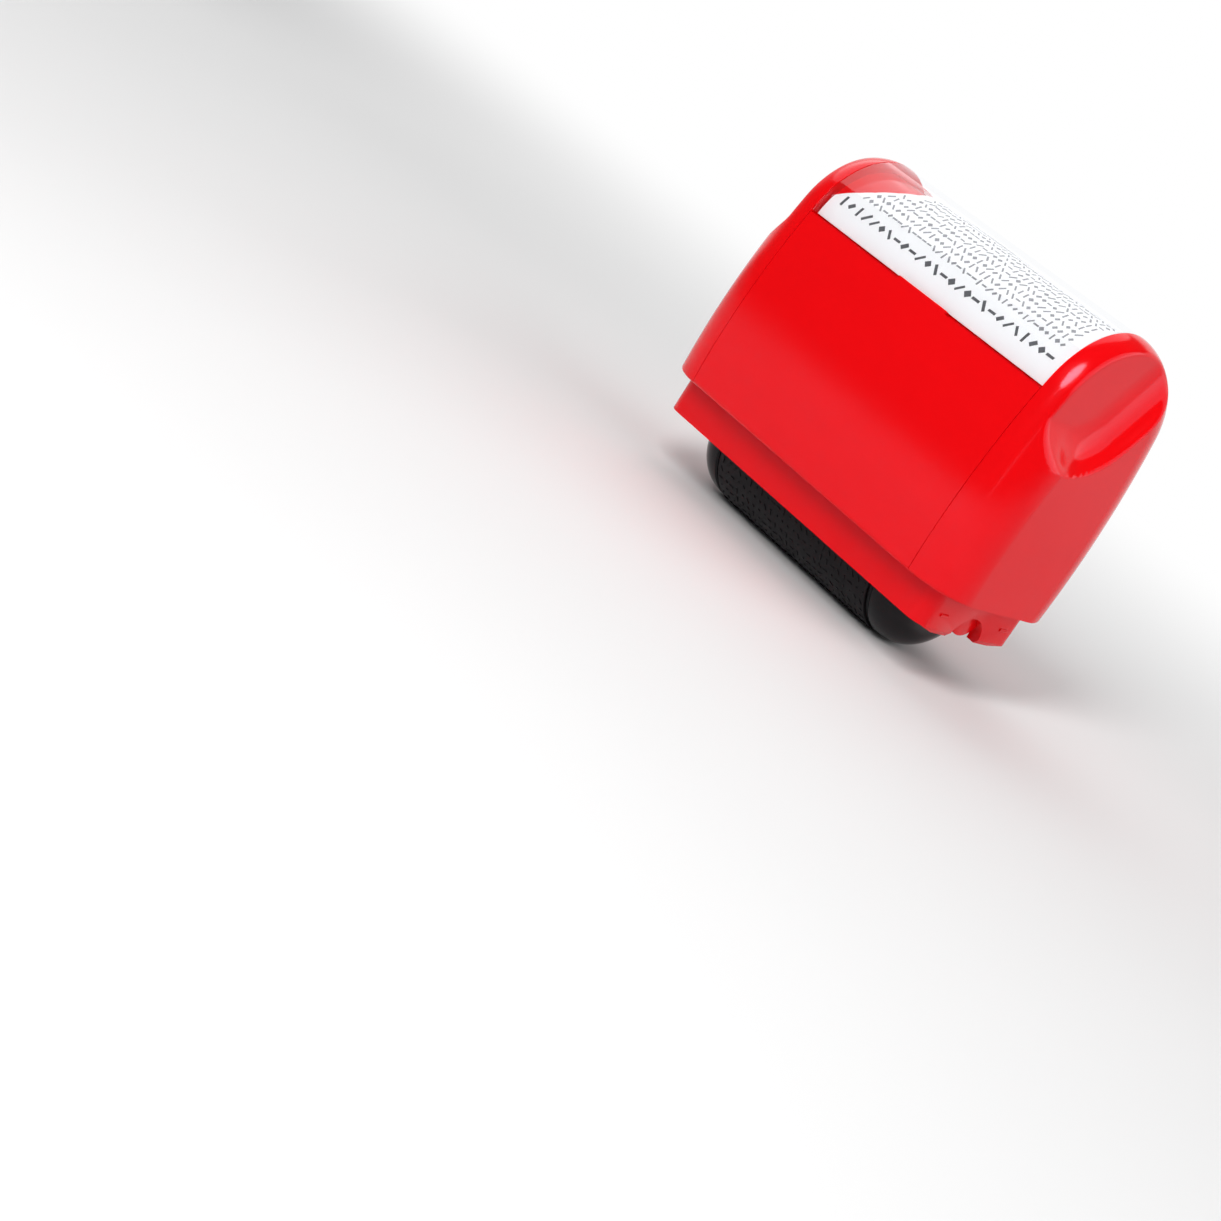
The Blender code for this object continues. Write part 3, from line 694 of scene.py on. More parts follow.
def polish(made: Piece, skin: Callable[[Vector, Vector], Optional[Vector]]) -> None:
    """Give the corners that lie on a known skin that skin's own normals.

    Args:
        made: The piece, after its shading is set.
        skin: Gives the exact normal for a place and its face's normal, or None.
    """
    mesh = made.data
    normals = [Vector(item.vector) for item in mesh.corner_normals]
    for face in mesh.polygons:
        for index in face.loop_indices:
            exact = skin(mesh.vertices[mesh.loops[index].vertex_index].co, face.normal)
            if exact is not None:
                normals[index] = exact
    mesh.normals_split_custom_set(normals)


# Marks


@dataclass(frozen=True)
class MarkField:
    """One field of rows of marks, wrapped round an axis along X; each entry is an input."""

    length: float
    span: float
    columns: int
    rows: int
    radius: float
    centre_height: float
    turn: float
    size: float
    relief: float
    seed: int
    shift: float = 0.0
    trim_start: float = -1.0
    trim_slope: float = 0.0
    trim_limit: float = -1.0

    @staticmethod
    def title(entry: str) -> str:
        """Name of the input for one entry."""
        return entry.replace("_", " ").title()

    def make(self, finish: Finish) -> Piece:
        """Run the tree and keep its result as a plain mesh.

        Args:
            finish: What the marks are made of.

        Returns:
            All marks as one piece.
        """
        tree = bpy.data.node_groups.get(MarkTree.NAME) or MarkTree().tree
        made = linked("marks", bpy.data.meshes.new("marks"))
        modifier = made.modifiers.new("marks", "NODES")
        modifier.node_group = tree
        values = {self.title(entry): value for entry, value in vars(self).items()}
        values["Material"] = finish.material()
        for item in tree.interface.items_tree:
            if item.in_out == "INPUT":
                modifier[item.identifier] = values[item.name]
        return baked(made)


class MarkTree(Graph):
    """Geometry Nodes tree: rows of small plain marks wrapped round an axis along X."""

    NAME = "wrapped_marks"
    KINDS = {float: "NodeSocketFloat", int: "NodeSocketInt"}
    RANDOM_SOCKETS = {"INT": (4, 5, 2), "FLOAT": (2, 3, 1)}
    SCALES = (0.86, 1.06)
    LEAN = math.radians(52.0)
    BARS = (
        (0.80, 0.24, 0.0),
        (0.95, 0.24, LEAN),
        (0.95, 0.24, -LEAN),
        (0.95, 0.24, QUARTER),
        (0.52, 0.52, math.pi / 4),
        (0.62, 0.36, LEAN),
    )
    BAR_POINTS = 4

    def __init__(self) -> None:
        """Build the tree."""
        tree = bpy.data.node_groups.new(self.NAME, "GeometryNodeTree")
        inputs = [(MarkField.title(item.name), self.KINDS[item.type]) for item in fields(MarkField)]
        for name, kind in inputs + [("Material", "NodeSocketMaterial")]:
            tree.interface.new_socket(name, in_out="INPUT", socket_type=kind)
        tree.interface.new_socket("Geometry", in_out="OUTPUT", socket_type="NodeSocketGeometry")
        super().__init__(tree)
        self.given = self.add("NodeGroupInput")
        grid = {"Size X": "Length", "Size Y": "Span", "Vertices X": "Columns", "Vertices Y": "Rows"}
        shape = self.wire("GeometryNodeMeshGrid", {key: self.input(grid[key]) for key in grid})
        values = {"Geometry": shape, "Selection": self.trimmed()}
        shape = self.wire("GeometryNodeDeleteGeometry", values, domain="POINT")
        values = {
            "Points": shape,
            "Instance": self.marks(),
            "Pick Instance": True,
            "Instance Index": self.random("INT", 0, len(self.BARS) - 1, 0),
            "Scale": self.random("FLOAT", *self.SCALES, 1),
        }
        shape = self.wire("GeometryNodeInstanceOnPoints", values)
        shape = self.wire("GeometryNodeRealizeInstances", {"Geometry": shape})
        values = {"Geometry": shape, "Position": self.wrap()}
        shape = self.wire("GeometryNodeSetPosition", values)
        values = {"Geometry": shape, "Material": self.input("Material")}
        shape = self.wire("GeometryNodeSetMaterial", values)
        self.add("NodeGroupOutput", {"Geometry": shape})

    def input(self, name: str) -> Wire:
        """One named input of the tree."""
        return Wire(self, self.given.outputs[name])

    def random(self, kind: str, low: float, high: float, stream: int) -> Wire:
        """Random value for each point; each stream draws on its own.

        Args:
            kind: "INT" or "FLOAT".
            low: Least value.
            high: Greatest value.
            stream: Number added to the seed.

        Returns:
            The random value.
        """
        least, most, result = self.RANDOM_SOCKETS[kind]
        values = {least: low, most: high, "Seed": self.input("Seed") + stream}
        return self.wire("FunctionNodeRandomValue", values, result, data_type=kind)

    def vector(self, x: Any, y: Any, z: Any) -> Wire:
        """Vector from three numbers or wires."""
        return self.wire("ShaderNodeCombineXYZ", {0: x, 1: y, 2: z})

    def flat_place(self) -> tuple[Wire, Wire, Wire]:
        """Place of a point on the flat field, already shifted along the rows.

        Returns:
            Place along the row, across the rows and above the face.
        """
        node = self.add("ShaderNodeSeparateXYZ", {0: self.wire("GeometryNodeInputPosition")})
        along, across, above = (Wire(self, socket) for socket in node.outputs)
        return along + self.input("Shift"), across, above

    def trimmed(self) -> Wire:
        """1 for the points beyond the slanted left edge.

        Returns:
            Which points are left out.
        """
        along, across, _ = self.flat_place()
        edge = self.input("Trim Start") + self.input("Trim Slope") * across
        return along.math("LESS_THAN", edge.math("MINIMUM", self.input("Trim Limit")))

    def bar(self, length: float, width: float, turn: float) -> Wire:
        """Straight bar, its lengths in shares of the mark's size.

        Args:
            length: Its length.
            width: Its width.
            turn: How far it is turned on the face.

        Returns:
            Its geometry.
        """
        size, relief = self.input("Size"), self.input("Relief")
        values = {"Size": self.vector(size * length, size * width, relief)}
        cube = self.wire("GeometryNodeMeshCube", {**values, "Vertices X": self.BAR_POINTS})
        lift = self.vector(0.0, 0.0, relief * 0.5)
        values = {"Geometry": cube, "Translation": lift, "Rotation": (0.0, 0.0, turn)}
        return self.wire("GeometryNodeTransform", values)

    def marks(self) -> Wire:
        """The plain marks to pick from, each as one instance.

        Returns:
            The geometry that holds them.
        """
        shapes = [self.bar(*bar) for bar in self.BARS]
        made = self.add("GeometryNodeGeometryToInstance")
        for shape in shapes[::-1]:
            self.feed(made.inputs[0], shape)
        return Wire(self, made.outputs[0])

    def wrap(self) -> Wire:
        """Place of each point after the flat rows are wrapped round the axis.

        Returns:
            The place on the wrapped face.
        """
        along, across, above = self.flat_place()
        turn = self.input("Turn") + across / self.input("Radius")
        reach = self.input("Radius") + above
        height = self.input("Centre Height") + reach * turn.math("COSINE")
        return self.vector(along, reach * turn.math("SINE"), height)


class SubAssembly:
    """Pieces that ride on one CAD body."""

    body: str = ""

    def dress(
        self, made: Piece, name: str, finish: Finish, nodes: Sequence[str], limit: float = 30.0
    ) -> None:
        """Name a finished piece, give it its material and tie it to its body.

        Args:
            made: The piece, in place.
            name: Its name in the scene.
            finish: What it is made of.
            nodes: The CAD nodes that it stands for.
            limit: Edges sharper than this stay crisp, in degrees.
        """
        made.name = name
        made.data.name = name
        made.data.materials.clear()
        made.data.materials.append(finish.material())
        made.data.shade_smooth()
        made.data.set_sharp_from_angle(angle=math.radians(limit))
        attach(made, self.body)
        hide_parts(*nodes)
        LOG.info("%s: %d faces, %s", name, len(made.data.polygons), finish.name)


# Housing


@dataclass(frozen=True)
class Arch:
    """Upright arch section: two side arcs that meet a round top in one tangent."""

    half_depth: float
    height: float
    top_radius: float
    side_radius: float
    side_steps: int = 70
    top_steps: int = 60

    @property
    def top_centre(self) -> Pair:
        """Centre of the round top, as (y, z)."""
        return 0.0, self.height - self.top_radius

    @property
    def side_centre(self) -> Pair:
        """Centre of the +Y side arc: it passes the foot and touches the round top.

        Returns:
            The centre as (y, z).
        """
        top_z = self.top_centre[1]
        span = math.hypot(self.half_depth, top_z)
        reach = self.side_radius - self.top_radius
        along = (self.side_radius**2 - reach**2 + span**2) / (2.0 * span)
        across = math.sqrt(self.side_radius**2 - along**2)
        y = self.half_depth - (self.half_depth * along + top_z * across) / span
        z = (top_z * along - self.half_depth * across) / span
        return y, z

    @property
    def tangent_turn(self) -> float:
        """Angle of the skin's normal above +Y where side arc and round top meet."""
        side_y, side_z = self.side_centre
        return math.atan2(self.top_centre[1] - side_z, -side_y)

    def turn_at(self, height: float, inset: float = 0.0) -> float:
        """Angle of the normal where the skin, moved in by inset, crosses a height.

        Args:
            height: Height above the foot.
            inset: How far the skin is moved in.

        Returns:
            The angle above +Y.
        """
        turn = math.asin((height - self.side_centre[1]) / (self.side_radius - inset))
        if turn <= self.tangent_turn:
            return turn
        return math.asin((height - self.top_centre[1]) / (self.top_radius - inset))

    def moved(self, turn: float, distance: float) -> float:
        """Angle of the normal a distance further up the skin than another.

        Args:
            turn: The angle to start from.
            distance: Way along the skin; negative goes down.

        Returns:
            The new angle.
        """
        past = turn - self.tangent_turn
        along = past * (self.side_radius if past < 0.0 else self.top_radius) + distance
        return self.tangent_turn + along / (self.side_radius if along < 0.0 else self.top_radius)

    def point(self, turn: float, inset: float = 0.0) -> Pair:
        """Point (y, z) of the +Y half whose normal has this angle, moved in by inset.

        Args:
            turn: Angle of the skin's normal above +Y.
            inset: How far the skin is moved in.

        Returns:
            The point.
        """
        on_side = turn <= self.tangent_turn
        centre = self.side_centre if on_side else self.top_centre
        radius = (self.side_radius if on_side else self.top_radius) - inset
        return centre[0] + radius * math.cos(turn), centre[1] + radius * math.sin(turn)

    def turns(self, first: float, last: float) -> list[float]:
        """Angles from first to last, with the tangent angle among them if it lies between.

        Args:
            first: The lower angle.
            last: The upper angle.

        Returns:
            The angles, in order.
        """
        middle = min(max(self.tangent_turn, first), last)
        angles = spaced(first, middle, self.side_steps) if middle > first else [first]
        return angles + (spaced(middle, last, self.top_steps)[1:] if last > middle else [])

    def skins(self, first: float, last: float, insets: Pair) -> list[list[Pair]]:
        """Two runs of points from first to last, one for each inset."""
        turns = self.turns(first, last)
        return [[self.point(turn, inset) for turn in turns] for inset in insets]

    def outline(self, inset: float, foot: float, lip: float) -> list[Pair]:
        """Whole closed outline, from the front foot over the top to the rear foot.

        Args:
            inset: How far the skin is moved in.
            foot: Height of the lower end.
            lip: Radius of the rounding under the wall, or 0.

        Returns:
            Points (y, z).
        """
        first = self.turn_at(foot + lip, inset)
        half = rolled(self.point(first, inset)[0], foot, lip) if lip else []
        half += [self.point(turn, inset) for turn in self.turns(first, QUARTER)]
        return [(-y, z) for y, z in half] + half[-2::-1]


@dataclass
class ThumbScoop:
    """Hollow for finger and thumb in each end of the housing.

    Its rim comes in level from the front, turns up in an arc under the thumb and leaves at the
    rear in a straight line. The wall rises gently at the front and steeply under the thumb.
    """

    radius: float = 13.5 * MM
    forward: float = 9.0 * MM
    centre_height: float = 38.7 * MM
    heading: float = math.radians(60.5)
    depth: float = 4.15 * MM
    gentle: Pair = (6.5 * MM, 1.4)
    ease: Pair = (7.5 * MM, 2.0)
    drop_share: float = 0.52
    drop_power: float = 8.0
    change: Pair = (-11.5 * MM, -2.0 * MM)
    rim_ease: float = 0.15 * MM
    bank: float = 2.5
    blend: float = 0.9 * MM
    reach: float = 18.0 * MM
    above: float = 62.0 * MM
    overrun: float = 3.0 * MM
    arc_steps: int = 16
    steps: int = 6

    def rim(self) -> list[tuple[float, float, Pair]]:
        """Rim points (y, z), each with its direction into the scoop, and two above the housing.

        Returns:
            The closed rim.
        """
        points = [(-2 * self.reach, self.centre_height - self.radius, (0.0, 1.0))]
        for turn in spaced(-QUARTER, self.heading - QUARTER, self.arc_steps):
            way = (-math.cos(turn), -math.sin(turn))
            y, z = -self.forward - self.radius * way[0], self.centre_height - self.radius * way[1]
            points.append((y, z, way))
        y, z, way = points[-1]
        points.append((y + self.reach * way[1], z - self.reach * way[0], way))
        return points + [(y, self.above, (0.0, 0.0)) for y in (self.reach, -2 * self.reach)]

    def inside_rim(self, y: float, z: float) -> float:
        """How far a place (y, z) lies inside the rim; negative outside it.

        Args:
            y: Place across the housing.
            z: Height above the housing's foot.

        Returns:
            The distance.
        """
        offset = (y + self.forward, z - self.centre_height)
        if offset[0] <= 0.0:
            return offset[1] + self.radius
        ahead = (math.cos(self.heading), math.sin(self.heading))
        if offset[0] * ahead[0] + offset[1] * ahead[1] > 0.0:
            return self.radius - offset[0] * ahead[1] + offset[1] * ahead[0]
        return self.radius - math.hypot(*offset)

    def depth_share(self, y: float, inside: float) -> float:
        """Share of the whole depth at a distance inside the rim, at one place across the end.

        Args:
            y: Place across the housing.
            inside: Distance inside the rim.

        Returns:
            The share, from 0 to 1.
        """
        share = min(max((y - self.change[0]) / (self.change[1] - self.change[0]), 0.0), 1.0)
        weight = share * share * (3.0 - 2.0 * share)
        gentle = 1.0 - (1.0 - min(inside / self.gentle[0], 1.0)) ** self.gentle[1]
        left = 1.0 - min(inside / self.ease[0], 1.0)
        steep = self.drop_share * (1.0 - left**self.drop_power)
        steep += (1.0 - self.drop_share) * (1.0 - left ** self.ease[1])
        return gentle + weight * (steep - gentle)

    def pressed(self, y: float, z: float, out: float, face: float) -> float:
        """How far out the skin is at a place once the hollow is pressed in, with soft edges.

        Args:
            y: Place across the housing.
            z: Height above the housing's foot.
            out: How far out the skin is without the hollow.
            face: How far out the end face is.

        Returns:
            How far out the skin is with the hollow.
        """
        inside = self.inside_rim(y, z) + self.rim_ease
        if inside < 0.0:
            floor = face - inside * self.bank
        else:
            floor = face - self.depth * self.depth_share(y, inside)
        overlap = max(self.blend - abs(out - floor), 0.0) / self.blend
        return min(out, floor) - overlap**2 * self.blend / 4

    def tool(self, side: int, face: float, lift: float, growth: float) -> Piece:
        """Cutting tool for the wall behind the hollow of one end.

        Args:
            side: -1 or 1, the end along X.
            face: How far the end face is from the middle.
            lift: Height of the housing's foot.
            growth: How far the form is moved into the housing.

        Returns:
            The tool.
        """
        places = [(face + self.overrun, 0.0)]
        for share in spaced(0.0, 1.0, self.steps):
            places.append((face - growth - self.depth * share, share))
        rings = []
        for x, share in places:
            shift = self.ease[0] * share**3 - growth
            ring = [(y + shift * way[0], z + shift * way[1] + lift) for y, z, way in self.rim()]
            rings.append([(side * x, y, z) for y, z in ring])
        return loft(rings)


@dataclass
class Housing(SubAssembly):
    """Arch-topped hand housing with its two side panels, window cover and label card."""

    body = "housing"
    half_length: float = 36.0 * MM
    base: float = 15.5 * MM
    end_fillet: float = 8.6 * MM
    lip: float = 0.5 * MM
    window_half: float = 27.9 * MM
    window_edge: float = 34.6 * MM
    panel_recess: float = 1.2 * MM
    window_recess: float = 1.95 * MM
    panel_thickness: float = 0.9 * MM
    cover_thickness: float = 1.2 * MM
    card_inset: float = 1.45 * MM
    card_thickness: float = 0.25 * MM
    card_margin: float = 0.35 * MM
    card_corner: Sequence[Pair] = (
        (-27.8, -12.6),
        (-26.4, -11.9),
        (-24.5, -10.9),
        (-22.8, -9.7),
        (-20.5, -7.3),
        (-19.0, -4.5),
    )
    seam: float = 0.2 * MM
    shown_seam: float = 0.09 * MM
    cavity_half_length: float = 33.4 * MM
    cavity_fillet: float = 4.5 * MM
    cavity_steps: int = 10
    wall: float = 2.6 * MM
    web_reach: float = 14.0 * MM
    web_thickness: float = 1.6 * MM
    web_span: Pair = (11.8 * MM, 21.8 * MM)
    rib_reach: float = 20.0 * MM
    rib_thickness: float = 1.6 * MM
    rib_face: float = 14.3 * MM
    rib_start: float = 1.2 * MM
    pry_half: float = 5.7 * MM
    pry_rise: float = 0.35 * MM
    panel_edge: float = 0.06 * MM
    cover_edge: float = 0.1 * MM
    overrun: float = 3.0 * MM
    fillet_steps: int = 40
    face_steps: int = 30
    edge_limit: float = 40.0
    shell_crisp: float = 34.0
    skin_crisp: float = 28.0
    on_skin: float = 0.02 * MM
    above_lip: float = 1.02
    at_tangent: Pair = (1e-6, 1e-4)
    end_facing: float = 0.9995
    skin_facing: float = 0.985
    skin: Arch = Arch(17.6 * MM, 47.8 * MM, 15.3 * MM, 113.0 * MM)
    inside: Arch = Arch(15.0 * MM, 43.8 * MM, 12.7 * MM, 110.4 * MM, 8, 16)
    scoop: ThumbScoop = field(default_factory=ThumbScoop)

    @property
    def edge_turn(self) -> float:
        """Angle on the arch where panels end and the window begins."""
        return self.skin.turn_at(self.window_edge)

    def raised(self, outline: Sequence[Pair], side: int = 1) -> list[Pair]:
        """Points (y, z) lifted to the housing's foot, turned to the front with side -1."""
        return [(side * y, z + self.base) for y, z in outline]

    @staticmethod
    def sections(
        arch: Arch, half_length: float, fillet: float, foot: float, lip: float, steps: int
    ) -> list[list[Triple]]:
        """Sections of one half, from its straight part to its end, drawn in round a fillet.

        Args:
            arch: The section of the straight part.
            half_length: Half the whole length.
            fillet: Radius of the rounding at the end.
            foot: Height of the lower end.
            lip: Radius of the rounding under the wall, or 0.
            steps: Steps of the fillet.

        Returns:
            Rings of points, above the foot.
        """
        rings = []
        for turn in spaced(0.0, QUARTER, steps):
            x = half_length - fillet * (1 - math.sin(turn))
            outline = arch.outline(fillet * (1 - math.cos(turn)), foot, lip)
            rings.append([(x, y, z) for y, z in outline])
        return rings

    def both_halves(self, half: Sequence[Sequence[Triple]], capped: bool) -> Piece:
        """Form from the sections of its right half, which the left half mirrors.

        Args:
            half: Rings from the middle to the right end.
            capped: Whether both ends get a face.

        Returns:
            The form, at its real height.
        """
        right = [[(x, y, z + self.base) for x, y, z in ring] for ring in half]
        left = [[(-x, y, z) for x, y, z in ring] for ring in right]
        return loft(left[::-1] + right, capped)

    def strip(self, side: int, first: float, last: float, insets: Pair, half: float) -> Piece:
        """Strip of the housing's skin on the front (side -1) or rear, along X."""
        outer, inner = self.skin.skins(first, last, insets)
        return prism(self.raised(outer + inner[::-1], side), "X", -half, half)

    def saddle(self, first: float, insets: Pair, half: float) -> Piece:
        """Strip over the top, from one angle on the front to the same angle at the rear.

        Args:
            first: Angle of the skin's normal at the strip's edges.
            insets: How far its two faces are moved in.
            half: Half its length.

        Returns:
            The strip.
        """
        outer, inner = self.skin.skins(first, QUARTER, insets)
        mirror = [(-y, z) for y, z in outer[-2::-1] + inner]
        return prism(self.raised(outer + mirror + inner[-2::-1]), "X", -half, half)

    def core(self) -> Piece:
        """Inside of the housing, with slots where its ribs and the walls behind the scoops stay.

        Returns:
            The tool that hollows the housing.
        """
        sizes = (self.cavity_half_length, self.cavity_fillet, -self.overrun, 0.0, self.cavity_steps)
        core = self.both_halves(self.sections(self.inside, *sizes), True)
        far = self.skin.half_depth + self.overrun
        low, high = (self.base + height for height in self.web_span)
        start = self.base + self.rib_start
        tools = []
        for side in (-1, 1):
            web, half = side * self.web_reach, self.web_thickness / 2
            tools.append(block((web - half, -far, low), (web + half, far, high)))
            rib, half = side * self.rib_reach, self.rib_thickness / 2
            for face in (-1, 1):
                near, wide = sorted((face * self.rib_face, face * far))
                tools.append(block((rib - half, near, start), (rib + half, wide, low)))
            tools.append(self.scoop.tool(side, self.half_length, self.base, self.wall))
        return combine(core, tools, Operation.CUT)

    def skin_normal(self, spot: Vector, face_normal: Vector) -> Optional[Vector]:
        """Exact normal of the outer skin at a spot on it, or None away from it.

        Args:
            spot: A corner of the mesh.
            face_normal: Normal of the face at that corner.

        Returns:
            The normal, or None.
        """
        x, y, z = abs(spot.x), abs(spot.y), spot.z - self.base
        if z < self.lip * self.above_lip:
            return None
        if abs(face_normal.x) > self.end_facing and x > self.half_length - self.on_skin:
            return Vector((math.copysign(1.0, spot.x), 0.0, 0.0))
        arch, best = self.skin, None
        for centre, radius, on_side in (
            (arch.side_centre, arch.side_radius, True),
            (arch.top_centre, arch.top_radius, False),
        ):
            turn = math.atan2(z - centre[1], y - centre[0])
            past = turn - arch.tangent_turn
            if (past <= self.at_tangent[0]) == on_side or abs(past) < self.at_tangent[1]:
                best = (centre, radius, turn)
        if best is None:
            return None
        centre, radius, turn = best
        past = max(x - (self.half_length - self.end_fillet), 0.0)
        rise = math.hypot(y - centre[0], z - centre[1]) - (radius - self.end_fillet)
        if abs(math.hypot(past, rise) - self.end_fillet) > self.on_skin:
            return None
        out, flat = past / self.end_fillet, rise / self.end_fillet
        across = math.copysign(flat * math.cos(turn), spot.y)
        exact = Vector((math.copysign(out, spot.x), across, flat * math.sin(turn))).normalized()
        return exact if exact.dot(face_normal) > self.skin_facing else None

    def pressed_form(self) -> Piece:
        """Solid outside of the housing: rounded arch whose two ends carry the thumb scoops.

        Returns:
            The solid, not yet hollowed.
        """
        sizes = (self.half_length, self.end_fillet, 0.0, self.lip, self.fillet_steps)
        rings = self.sections(self.skin, *sizes)
        last, top = rings[-1], self.skin.top_centre[1]
        for share in spaced(0.0, 1.0, self.face_steps)[1:]:
            rings.append([(x, y * (1 - share), z + (min(z, top) - z) * share) for x, y, z in last])
        press, face = self.scoop.pressed, self.half_length
        pressed = [[(press(y, z, x, face), y, z) for x, y, z in ring] for ring in rings]
        return self.both_halves(pressed, False)

    def make_shell(self) -> None:
        """Outer shell: hollow rounded arch with recesses for window and panels and two scoops."""
        shell = self.pressed_form()
        foot = self.skin.turn_at(-self.overrun)
        past = self.skin.moved(self.edge_turn, self.seam)
        tools = [self.core()]
        for side in (-1, 1):
            insets = (-self.overrun, self.panel_recess)
            tools.append(self.strip(side, foot, past, insets, self.window_half))
        insets = (-self.overrun, self.window_recess)
        tools.append(self.saddle(self.edge_turn, insets, self.window_half))
        combine(shell, tools, Operation.CUT)
        self.dress(shell, "housing_shell", RED, ["outer_shell"], self.shell_crisp)
        polish(shell, self.skin_normal)

    def pry_tab(self, grown: float) -> Piece:
        """Low tab on the front panel's upper edge, or with grown the relief for it in the cover.

        Args:
            grown: Gap all round the tab, or 0 for the tab itself.

        Returns:
            The tab or its relief.
        """
        first = self.skin.moved(self.edge_turn, -self.pry_rise)
        last = self.skin.moved(self.edge_turn, self.pry_rise + grown)
        insets = (0.0, self.panel_thickness)
        if grown:
            insets = (-self.overrun, self.cover_thickness + self.overrun)
        return self.strip(-1, first, last, insets, self.pry_half + grown)

    def make_panel(self, name: str, side: int) -> None:
        """Side panel from the housing's bottom edge up to the window's edge, with soft edges.

        Args:
            name: Its CAD node.
            side: -1 for the front, 1 for the rear.
        """
        start = self.skin.turn_at(self.lip)
        last = self.skin.moved(self.edge_turn, -self.seam)
        outer, inner = self.skin.skins(start, last, (0.0, self.panel_thickness))
        lip = rolled(outer[0][0], 0.0, self.lip)
        outline = self.raised([(inner[0][0], 0.0)] + lip + outer + inner[::-1], side)
        half = self.window_half - self.shown_seam
        panel = prism(outline, "X", -half, half)
        if side < 0:
            combine(panel, [self.pry_tab(0.0)], Operation.JOIN)
        soften(panel, self.panel_edge, 2, self.edge_limit)
        self.dress(panel, f"{name}_skin", RED, [name], self.skin_crisp)
        polish(panel, self.skin_normal)

    def make_cover(self) -> None:
        """Clear cover over the label, relieved at its front edge for the pry tab."""
        first = self.skin.moved(self.edge_turn, self.seam)
        cover = self.saddle(first, (0.0, self.cover_thickness), self.window_half - self.seam)
        combine(cover, [self.pry_tab(self.seam)], Operation.CUT)
        soften(cover, self.cover_edge, 2, self.edge_limit)
        self.dress(cover, "clear_window", CLEAR, ["window_cover"], self.skin_crisp)
        polish(cover, self.skin_normal)

    def make_card(self) -> None:
        """Thin card, its front left corner cut on a slant, in the recess under the cover."""
        first = self.skin.moved(self.edge_turn, self.card_margin)
        insets = (self.card_inset, self.card_inset + self.card_thickness)
        card = self.saddle(first, insets, self.window_half - self.card_margin)
        slant = [(x * MM, y * MM) for x, y in self.card_corner]
        beyond = self.half_length
        corner = [(-beyond, -beyond), (slant[0][0], -beyond), *slant]
        corner += [(slant[-1][0], beyond), (-beyond, beyond)]
        combine(card, [prism(corner, "Z", self.base, self.base + beyond * 2)], Operation.CUT)
        self.dress(card, "label_sheet", CARD, ["label_card"], self.skin_crisp)

    def print_card(self) -> None:
        """Rows of plain marks on the card: one bold row at the front and finer ones above it."""
        seat = {
            "radius": self.skin.top_radius - self.card_inset,
            "centre_height": self.base + self.skin.top_centre[1],
        }
        bold = MarkField(
            length=49.6 * MM,
            span=0.0,
            columns=27,
            rows=1,
            turn=-math.radians(63.5),
            size=2.1 * MM,
            relief=0.04 * MM,
            seed=5,
            shift=-0.4 * MM,
            **seat,
        )
        fine = MarkField(
            length=47.0 * MM,
            span=11.6 * MM,
            columns=40,
            rows=8,
            turn=-math.radians(28.0),
            size=1.35 * MM,
            relief=0.03 * MM,
            seed=23,
            shift=0.7 * MM,
            trim_start=-18.6 * MM,
            trim_slope=0.80,
            trim_limit=-17.8 * MM,
            **seat,
        )
        self.dress(bold.make(DARK_INK), "label_row", DARK_INK, ["label_card"])
        self.dress(fine.make(GREY_INK), "label_rows", GREY_INK, ["label_card"])

    def build(self) -> None:
        """Make every piece of the housing."""
        self.make_shell()
        self.make_panel("front_panel", -1)
        self.make_panel("rear_panel", 1)
        self.make_cover()
        self.make_card()
        self.print_card()


# Cartridge


